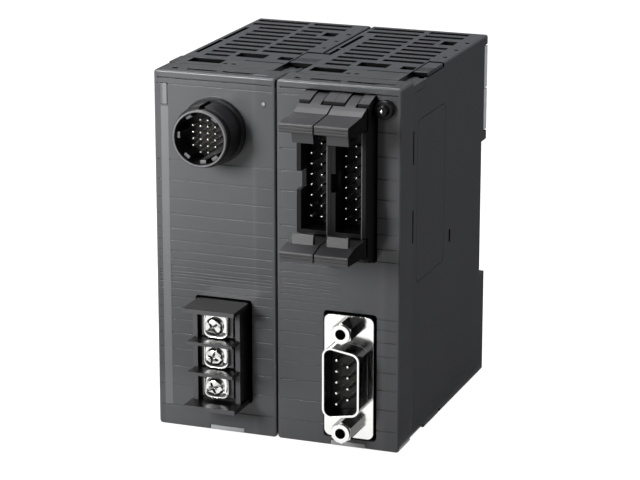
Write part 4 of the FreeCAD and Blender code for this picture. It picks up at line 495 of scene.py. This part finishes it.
def plated(name, colour, shade, roughness, grain, depth, nook=0.0, wall_shade=None):
    """A plated or bare metal: its colour varies a little, and a fine relief breaks up reflections.

    The grain is far finer on real pieces and is drawn coarser, so that it bends reflections.
    With nook, recesses are darkened with painted shade. With walls, a colour, the faces that don't
    look forward take that colour as painted shade.
    """
    made = bpy.data.materials.new(name)
    made.use_nodes = True
    tree = made.node_tree
    tree.nodes.clear()
    place = add(tree, "ShaderNodeTexCoord").outputs["Object"]
    cloud = add(tree, "ShaderNodeTexNoise", {"Scale": 1 / PLATE_CLOUD, "Detail": 3.0},
                {"Vector": place})
    tone = add(tree, "ShaderNodeMix", {"data_type": "RGBA", 6: paint(colour), 7: paint(shade)},
               {0: cloud.outputs["Fac"]}).outputs[2]
    if nook:
        reach = add(tree, "ShaderNodeAmbientOcclusion", {"samples": 8, "Distance": nook})
        painted_shade = add(tree, "ShaderNodeMapRange", {"From Min": SHADE_FULL, "From Max": SHADE_NONE},
                   {"Value": reach.outputs["AO"]})
        tone = add(tree, "ShaderNodeMix", {"data_type": "RGBA", 6: paint("#4c4c4c")},
                   {0: painted_shade.outputs[0], 7: tone}).outputs[2]
    if wall_shade:
        normal = add(tree, "ShaderNodeSeparateXYZ", None,
                     {0: add(tree, "ShaderNodeNewGeometry").outputs["Normal"]})
        front = add(tree, "ShaderNodeMapRange", {"From Min": WALL_FROM, "From Max": WALL_TO},
                    {"Value": normal.outputs["Y"]})
        tone = add(tree, "ShaderNodeMix", {"data_type": "RGBA", 6: paint(wall_shade)},
                   {0: front.outputs[0], 7: tone}).outputs[2]
    gloss = add(tree, "ShaderNodeMapRange",
                {"To Min": roughness * GLOSS_LEAST, "To Max": roughness * GLOSS_MOST},
                {"Value": cloud.outputs["Fac"]})
    scratch = add(tree, "ShaderNodeTexNoise", {"Scale": 1 / grain, "Detail": 2.0},
                  {"Vector": place})
    edges = add(tree, "ShaderNodeBevel", {"samples": 4, "Radius": PLATE_EDGE})
    relief = add(tree, "ShaderNodeBump", {"Strength": 1.0, "Distance": depth},
                 {"Height": scratch.outputs["Fac"], "Normal": edges.outputs[0]})
    metal = add(tree, "ShaderNodeBsdfPrincipled", {"Metallic": 1.0},
                {"Base Color": tone, "Roughness": gloss.outputs[0], "Normal": relief.outputs[0]})
    add(tree, "ShaderNodeOutputMaterial", None, {"Surface": metal.outputs[0]})
    return made


# Square pins are drawn from brass wire, swaged to a taper at the tip and pressed into the shroud.
# Tin over brass, reflowed: a soft warm mirror, a little uneven
tin = plated("tinned_brass", "#eceae4", "#dcdad2", 0.24, 0.3 * MM, 0.002 * MM)
PIN_HALF, PIN_TIP_HALF, PIN_TAPER, PIN_TIP_EDGE = 0.30, 0.17, 1.0, 0.05
for side in ("left", "right"):
    low, high = [Vector(corner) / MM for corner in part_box(f"{side}_header_pins")]
    middle = (low.x + high.x) / 2
    shape = bmesh.new()
    for row in range(HEADER_ROWS):
        z = HEADER_Z + (row - (HEADER_ROWS - 1) / 2) * HEADER_PITCH
        for x in (middle - HEADER_PITCH / 2, middle + HEADER_PITCH / 2):
            loops = []
            for y, half in ((high.y, PIN_HALF), (low.y + PIN_TAPER, PIN_HALF),
                            (low.y + PIN_TIP_EDGE, PIN_TIP_HALF),
                            (low.y, PIN_TIP_HALF - PIN_TIP_EDGE)):
                loops.append([shape.verts.new(Vector((x + a * half, y, z + b * half)) * MM)
                              for a, b in ((-1, -1), (1, -1), (1, 1), (-1, 1))])
            for near, far in zip(loops, loops[1:]):
                for k in range(4):
                    shape.faces.new((near[k], near[(k + 1) % 4], far[(k + 1) % 4], far[k]))
            shape.faces.new(loops[0])
            shape.faces.new(loops[-1])
    piece(f"{side}_tapered_pins", shape, tin, "housings", "pin_metal", f"{side}_header_pins")

# A ribbed pad lies on the cheeks beside each latch, where a thumb pushes, and follows the curve of
# the latch's back. A pale bead rounds the front edge of each right-hand wall, as a painted
# highlight.

# Nylon painted paler than new, a painted highlight where edges catch the lamps, and a little
# glossier
edge_highlight_nylon = moulded("edge_highlight_nylon", "#68686a", "#747476", 0.32, 0.3 * MM, 0.005 * MM)
# Nylon on a ribbed pad: an even mid grey
pad_nylon = moulded("ribbed_nylon", "#525254", "#5a5a5c", 0.36, 0.3 * MM, 0.006 * MM)
PAD_INNER, PAD_OUTER, PAD_RIBS, PAD_STEPS = 1.62, 4.26, 5, 10
PAD_START, PAD_REACH, PAD_CURVE = 0.03, 0.51, 1.5     # shares of the latch's run, and its curve
PAD_RISE, RIB_LOW, RIB_HIGH = 0.2, 0.02, 0.16
BEAD_IN, BEAD_HALF, BEAD_FRONT, BEAD_BACK = 1.0, 0.13, 0.06, 0.3
BEAD_FOOT, BEAD_TOP = 9.5, 36.0
for side in ("left", "right"):
    low, high = [Vector(corner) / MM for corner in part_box(f"{side}_header_shroud")]
    middle = (low.x + high.x) / 2
    shape = bmesh.new()
    for end in (1, -1):
        for way in (-1, 1):
            rows = []
            for step in range(PAD_STEPS + 1):
                share = PAD_START + PAD_REACH * step / PAD_STEPS
                y = LATCH_PIVOT_Y - share * LATCH_RUN
                up = LATCH_PIVOT_UP + LATCH_HEEL + PAD_RISE - share ** PAD_CURVE * LATCH_FALL
                row = []
                for k in range(4 * PAD_RIBS + 1):
                    x = middle + way * (PAD_INNER + (PAD_OUTER - PAD_INNER) * k / (4 * PAD_RIBS))
                    rise = RIB_HIGH if k % 4 in (1, 2) else RIB_LOW
                    row.append(shape.verts.new(Vector((x, y, HEADER_Z + end * (up + rise))) * MM))
                rows.append(row)
            for near, far in zip(rows, rows[1:]):
                for k in range(len(near) - 1):
                    shape.faces.new((near[k], near[k + 1], far[k + 1], far[k]))
    piece(f"{side}_cheek_pads", shape, pad_nylon, "housings", "black_nylon")
    shape = bmesh.new()
    x = high.x - BEAD_IN
    block(shape, (x - BEAD_HALF, low.y - BEAD_FRONT, BEAD_FOOT),
          (x + BEAD_HALF, low.y + BEAD_BACK, BEAD_TOP), bevel=0.05)
    piece(f"{side}_wall_beads", shape, edge_highlight_nylon, "housings", "black_nylon")


# ---------------------------------------------------------------- lock post
# A short turned post with a steel tip stands in the cover beside the right upper latch, and holds
# the cover to the case. It is drawn wide and black, so that it also paints the shadow beside the
# latch.
def turned(shape, middle, outline, steps):
    """Turns an outline of (radius, y) points in mm about an axis along y."""
    rings = []
    for radius, y in outline:
        if radius == 0:
            rings.append([shape.verts.new(Vector((middle[0], y, middle[1])) * MM)] * steps)
            continue
        turns = [2 * math.pi * k / steps for k in range(steps)]
        rings.append([shape.verts.new(Vector((middle[0] + radius * math.cos(turn), y,
                                              middle[1] + radius * math.sin(turn))) * MM)
                      for turn in turns])
    for inner, outer in zip(rings, rings[1:]):
        for k in range(steps):
            corners = (inner[k], inner[(k + 1) % steps], outer[(k + 1) % steps], outer[k])
            shape.faces.new(list(dict.fromkeys(corners)))


POST = (27.6, 39.9)                    # x and z of its axis
POST_OUTLINE = ((2.3, -63.9), (2.3, -65.4), (2.1, -65.7), (1.4, -65.7), (1.3, -65.6), (1.3, -66.8),
                (1.15, -67.0), (0.4, -67.0))
TIP_OUTLINE = ((0.5, -66.9), (0.5, -67.1), (0.42, -67.25), (0.25, -67.35), (0, -67.4))
# Phenolic resin, pressed hot: deep black and smooth, with only a weak gloss
thermoset = moulded("black_thermoset", "#101011", "#141415", 0.3, 0.4 * MM, 0.004 * MM,
                    specular=0.25)
shape = bmesh.new()
turned(shape, POST, POST_OUTLINE, steps=40)
piece("lock_post", shape, thermoset, "housings", "black_nylon")
# Nickel over polished steel: a small mirror that holds one sharp glint, with painted shade in its
# recesses
screw_steel = plated("nickel_plated_steel", "#e9e9e6", "#d8d8d5", 0.16, 0.4 * MM, 0.003 * MM,
                     nook=1.2 * MM)
shape = bmesh.new()
turned(shape, POST, TIP_OUTLINE, steps=32)
piece("lock_post_tip", shape, screw_steel, "housings", "screw_metal")


# ---------------------------------------------------------------- round connector
# A circular cable connector: a black nylon tube with a pale rim, a keyed thermoset insert with
# twenty round pins, and a nickel nut that holds it from behind the cover.
ROUND = (-15.75, 31.2)                 # x and z of its axis
# Nylon from a blasted tool: black and matt, with painted shade darker still down inside the tube
tube_nylon = moulded("tube_nylon", "#151517", "#1a1a1c", 0.4, 0.3 * MM, 0.006 * MM,
                     specular=0.25, nook=12 * MM)
dress(tube_nylon, "round_shell")
dress(thermoset, "round_insert")
# Tin over turned brass: a warm soft mirror on the round tips
round_tin = plated("tinned_contact_brass", "#eceae4", "#dddbd3", 0.22, 0.3 * MM, 0.002 * MM)
dress(round_tin, "round_pins")
# Nickel over turned brass: a clear, slightly yellow mirror
nickel = plated("nickel_plate", "#f3f3f1", "#ebebe8", 0.13, 0.5 * MM, 0.003 * MM)
dress(nickel, "round_nut")
# The rim and the keys' ends are painted a paler satin grey, a painted highlight where their edges
# catch the lamps
RIM_OUTLINE = ((6.36, -72.6), (6.36, -73.42), (6.44, -73.52), (6.84, -73.52), (6.97, -73.40),
               (6.97, -72.9))
shape = bmesh.new()
turned(shape, ROUND, RIM_OUTLINE, steps=96)
piece("round_rim", shape, edge_highlight_nylon, "housings", "black_nylon")
KEY_TURNS = (53, 122, 177, 232, 275, 307)        # degrees round the axis
KEY_NEAR, KEY_FAR, KEY_HALF = 5.42, 6.22, 0.78
KEY_LOOPS = ((-72.2, 0.0), (-72.32, 0.0), (-72.38, 0.06))     # y, and how much is trimmed off
shape = bmesh.new()
for turn in KEY_TURNS:
    out = Vector((math.cos(math.radians(turn)), 0, math.sin(math.radians(turn))))
    over = Vector((-out.z, 0, out.x))
    loops = [[shape.verts.new((Vector((ROUND[0], y, ROUND[1])) + out * a + over * b) * MM)
              for a, b in ((KEY_NEAR + trim, -KEY_HALF + trim), (KEY_FAR - trim, -KEY_HALF + trim),
                           (KEY_FAR - trim, KEY_HALF - trim), (KEY_NEAR + trim, KEY_HALF - trim))]
             for y, trim in KEY_LOOPS]
    for near, far in zip(loops, loops[1:]):
        for k in range(4):
            shape.faces.new((near[k], near[(k + 1) % 4], far[(k + 1) % 4], far[k]))
    shape.faces.new(loops[-1])
piece("round_key_ends", shape, edge_highlight_nylon, "housings", "insert_plastic")


# ---------------------------------------------------------------- terminal block
# Three screw terminals in a hooded nylon block. Each has a fixed plate, a sprung square washer
# and a combination pan-head screw, all nickel-plated steel.

# Nylon from a polished tool, in painted light and shade: lit grey facing forward, near black
# elsewhere
terminal_nylon = moulded("terminal_nylon", "#5c5c5e", "#646466", 0.34, 0.3 * MM, 0.006 * MM,
                         specular=0.25, nook=6 * MM, shaded_flanks=("XZ", "#0e0e10"))
dress(terminal_nylon, "terminal_block")
# Nickel over rolled steel, dulled by the wires that it clamps: a grey, blurred mirror
plate_steel = plated("dulled_nickel_steel", "#6a6a6a", "#5a5a5b", 0.45, 0.4 * MM, 0.004 * MM)
dress(plate_steel, "terminal_plates")
# Nickel over pressed spring steel: a bright mirror that its curve breaks into streaks
washer_steel = plated("bright_nickel_steel", "#f0f0ee", "#e4e4e2", 0.08, 0.6 * MM, 0.002 * MM)
WASHER_STEPS, WASHER_CORNER, WASHER_HOLE = 96, 1.5, 1.6
# shares of the way from hole to rim, and how far behind the front they lie
WASHER_RINGS = ((0.0, 0.55), (0.0, 0.06), (0.03, 0.0), (0.2, 0.01), (0.4, 0.06), (0.6, 0.15),
                (0.78, 0.26), (0.86, 0.24), (0.92, 0.2), (0.97, 0.28), (1.0, 0.44), (1.0, 0.74),
                (0.97, 0.8))
for k in (1, 2, 3):
    low, high = [Vector(corner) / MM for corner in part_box(f"terminal_washer_{k}")]
    middle, half = (low + high) / 2, (high.x - low.x) / 2
    shape = bmesh.new()
    rings = []
    for share, back in WASHER_RINGS:
        ring = []
        for step in range(WASHER_STEPS):
            turn = 2 * math.pi * step / WASHER_STEPS
            ray = Vector((math.cos(turn), math.sin(turn)))
            # how far the rounded square reaches this way: its flat side, or its corner's arc
            reach = half / max(abs(ray.x), abs(ray.y))
            knee = half - WASHER_CORNER
            if min(abs(ray.x), abs(ray.y)) * reach > knee:
                along = knee * (abs(ray.x) + abs(ray.y))
                reach = along + math.sqrt(along ** 2 - 2 * knee ** 2 + WASHER_CORNER ** 2)
            out = WASHER_HOLE + share * (reach - WASHER_HOLE)
            ring.append(shape.verts.new(Vector((middle.x + ray.x * out, low.y + back,
                                                middle.z + ray.y * out)) * MM))
        rings.append(ring)
    for inner, outer in zip(rings, rings[1:] + rings[:1]):
        for step in range(WASHER_STEPS):
            after = (step + 1) % WASHER_STEPS
            shape.faces.new((inner[step], inner[after], outer[after], outer[step]))
    piece(f"terminal_{k}_sprung_washer", shape, washer_steel, f"terminal_washer_{k}",
          "screw_metal", f"terminal_washer_{k}")


THREAD_STEPS, THREAD_ROWS = 32, 6      # round the axis, and along it for each turn


def threaded(shape, middle, near, far, crest, root, pitch):
    """A thread about an axis along y, from near to far in mm; a crest under its root is tapped."""
    rows = int((far - near) / pitch * THREAD_ROWS) + 1
    rings = []
    for row in range(rows):
        y = near + (far - near) * row / (rows - 1)
        ring = []
        for step in range(THREAD_STEPS):
            phase = (y / pitch + step / THREAD_STEPS) % 1
            radius = root + (crest - root) * (1 - abs(2 * phase - 1))
            turn = 2 * math.pi * step / THREAD_STEPS
            ring.append(shape.verts.new(Vector((middle[0] + radius * math.cos(turn), y,
                                                middle[1] + radius * math.sin(turn))) * MM))
        rings.append(ring)
    for one, other in zip(rings, rings[1:]):
        for step in range(THREAD_STEPS):
            after = (step + 1) % THREAD_STEPS
            shape.faces.new((one[step], one[after], other[after], other[step]))


SHANK_CREST, SHANK_ROOT, SHANK_PITCH, SHANK_LAP = 1.5, 1.22, 0.5, 0.01
HEAD_OUT, HEAD_TALL, HEAD_DOME = 2.3, 1.9, 0.55
HEAD_FACE = HEAD_OUT - 0.12            # radius of the domed face
ROUND_SHARE, ROUND_FALL = 0.2, 0.25    # its outer part, which curves down more, and by how much
# the skirt of the head: how far behind the top, and the radius
HEAD_SKIRT = ((0.95, HEAD_OUT - 0.03), (1.1, HEAD_OUT), (HEAD_TALL, HEAD_OUT),
              (HEAD_TALL, SHANK_CREST))
CROSS_OUT, CROSS_HALF, CROSS_DEEP = 1.5, 0.30, 1.0
CROSS_WIDE, CROSS_TAPER = 1.25, 0.35   # its arms narrow outwards
SLOT_HALF, SLOT_DEEP = 0.26, 0.5
RECESS_EDGE = 0.07                     # width over which a recess drops to its floor
HEAD_STEPS, HEAD_RINGS = 112, 30
HEAD_TURNS = (24, 71, 128)             # how far round each screw happens to stand, in degrees
for k, stand in enumerate(HEAD_TURNS, start=1):
    low, high = [Vector(corner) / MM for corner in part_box(f"terminal_screw_{k}")]
    middle = ((low.x + high.x) / 2, (low.z + high.z) / 2)
    shape = bmesh.new()
    rings = []
    for ring_number in range(1, HEAD_RINGS + 1):
        out = HEAD_FACE * ring_number / HEAD_RINGS
        ring = []
        for step in range(HEAD_STEPS):
            turn = 2 * math.pi * step / HEAD_STEPS
            way = turn - math.radians(stand)
            along, aside = abs(out * math.cos(way)), abs(out * math.sin(way))
            deep = 0.0
            for p, q in ((along, aside), (aside, along)):
                arm = CROSS_HALF * (CROSS_WIDE - CROSS_TAPER * p)
                wall = min(1, max(0, (arm - q) / RECESS_EDGE))
                deep = max(deep, wall * CROSS_DEEP * max(0, 1 - (p / CROSS_OUT) ** 2))
            slot_wall = min(1, max(0, (SLOT_HALF - aside) / RECESS_EDGE))
            deep = max(deep, slot_wall * SLOT_DEEP)
            edge = max(0, out / HEAD_FACE - (1 - ROUND_SHARE)) / ROUND_SHARE
            y = low.y + HEAD_DOME * (out / HEAD_OUT) ** 2 + ROUND_FALL * edge ** 3 + deep
            ring.append(shape.verts.new(Vector((middle[0] + out * math.cos(turn), y,
                                                middle[1] + out * math.sin(turn))) * MM))
        rings.append(ring)
    centre = shape.verts.new(Vector((middle[0], low.y + CROSS_DEEP, middle[1])) * MM)
    for back, out in HEAD_SKIRT:
        rings.append([shape.verts.new(Vector((
            middle[0] + out * math.cos(2 * math.pi * step / HEAD_STEPS), low.y + back,
            middle[1] + out * math.sin(2 * math.pi * step / HEAD_STEPS))) * MM)
            for step in range(HEAD_STEPS)])
    for step in range(HEAD_STEPS):
        after = (step + 1) % HEAD_STEPS
        shape.faces.new((centre, rings[0][step], rings[0][after]))
        for inner, outer in zip(rings, rings[1:]):
            shape.faces.new((inner[step], inner[after], outer[after], outer[step]))
    threaded(shape, middle, low.y + HEAD_TALL - SHANK_LAP, high.y, SHANK_CREST, SHANK_ROOT,
             SHANK_PITCH)
    piece(f"terminal_{k}_cross_head_screw", shape, screw_steel, f"terminal_screw_{k}",
          "screw_metal", f"terminal_screw_{k}")


# ---------------------------------------------------------------- D connector
# A nine-pin connector: a drawn and nickel-plated steel shell over a black insulator, tinned pins
# and two hexagonal jack screws that are tapped for a plug's thumb screws.

# Nickel over drawn steel: white where the flange and the rim look forward, painted shade along the
# walls
shell_nickel = plated("drawn_nickel_steel", "#f3f3f1", "#ebebe8", 0.13, 0.5 * MM, 0.003 * MM,
                      wall_shade="#3a3a3b")
dress(shell_nickel, "dsub_shell")
dress(thermoset, "dsub_insulator")
dress(round_tin, "dsub_pins")
JACK_HALF = 12.495                     # the two stand 24.99 apart
JACK_CREST, JACK_ROOT, JACK_PITCH = 1.1, 1.32, 0.635
JACK_MOUTH, JACK_DEEP = 0.35, 4.6
# Nickel over turned brass, tumbled smooth: as the shell, a little softer, with painted shade in
# the bore
jack_nickel = plated("tumbled_nickel", "#f3f3f1", "#e6e6e3", 0.18, 0.4 * MM, 0.003 * MM,
                     nook=1.6 * MM, wall_shade="#39393a")
dress(jack_nickel, "dsub_jack_screws")
low, high = [Vector(corner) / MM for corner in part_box("dsub_jack_screws")]
shape = bmesh.new()
for z in ((low.z + high.z) / 2 - JACK_HALF, (low.z + high.z) / 2 + JACK_HALF):
    threaded(shape, ((low.x + high.x) / 2, z), low.y + JACK_MOUTH, low.y + JACK_DEEP, JACK_CREST,
             JACK_ROOT, JACK_PITCH)
piece("dsub_jack_threads", shape, jack_nickel, "housings", "nickel")


# ---------------------------------------------------------------- boards and their parts
# Green glass-epoxy boards with epoxy chips, aluminium cans and a taped transformer, all inside
# the cases and seen only through the vents.

# Glass-epoxy under printed solder mask: a glossy mid green
board_mask = moulded("green_solder_mask", "#1d5a36", "#236a40", 0.28, 0.6 * MM, 0.006 * MM)
dress(board_mask, *[f"{side}_{word}_board" for side in ("left", "right")
                    for word in ("front", "main", "side")])
# Filled epoxy, moulded round the chips: a dull charcoal
chip_epoxy = moulded("chip_epoxy", "#1b1b1c", "#202021", 0.5, 0.3 * MM, 0.006 * MM)
dress(chip_epoxy, "left_chips", "right_chips")
# Drawn aluminium: a pale, blurred mirror
can_metal = plated("drawn_aluminium", "#cfd1d3", "#c4c6c8", 0.28, 0.4 * MM, 0.004 * MM)
dress(can_metal, "left_capacitors", "right_capacitors")
# Sintered ferrite and polyester tape: brownish black and dry
ferrite = moulded("ferrite_and_tape", "#2c2a28", "#38332c", 0.6, 0.5 * MM, 0.01 * MM)
dress(ferrite, "left_transformer", "right_transformer")
# PBT from a plain tool: satin black
bus_pbt = moulded("black_pbt", "#1f1f20", "#242425", 0.42, 0.3 * MM, 0.006 * MM)
dress(bus_pbt, "left_bus_plug", "right_bus_plug", "right_bus_socket")
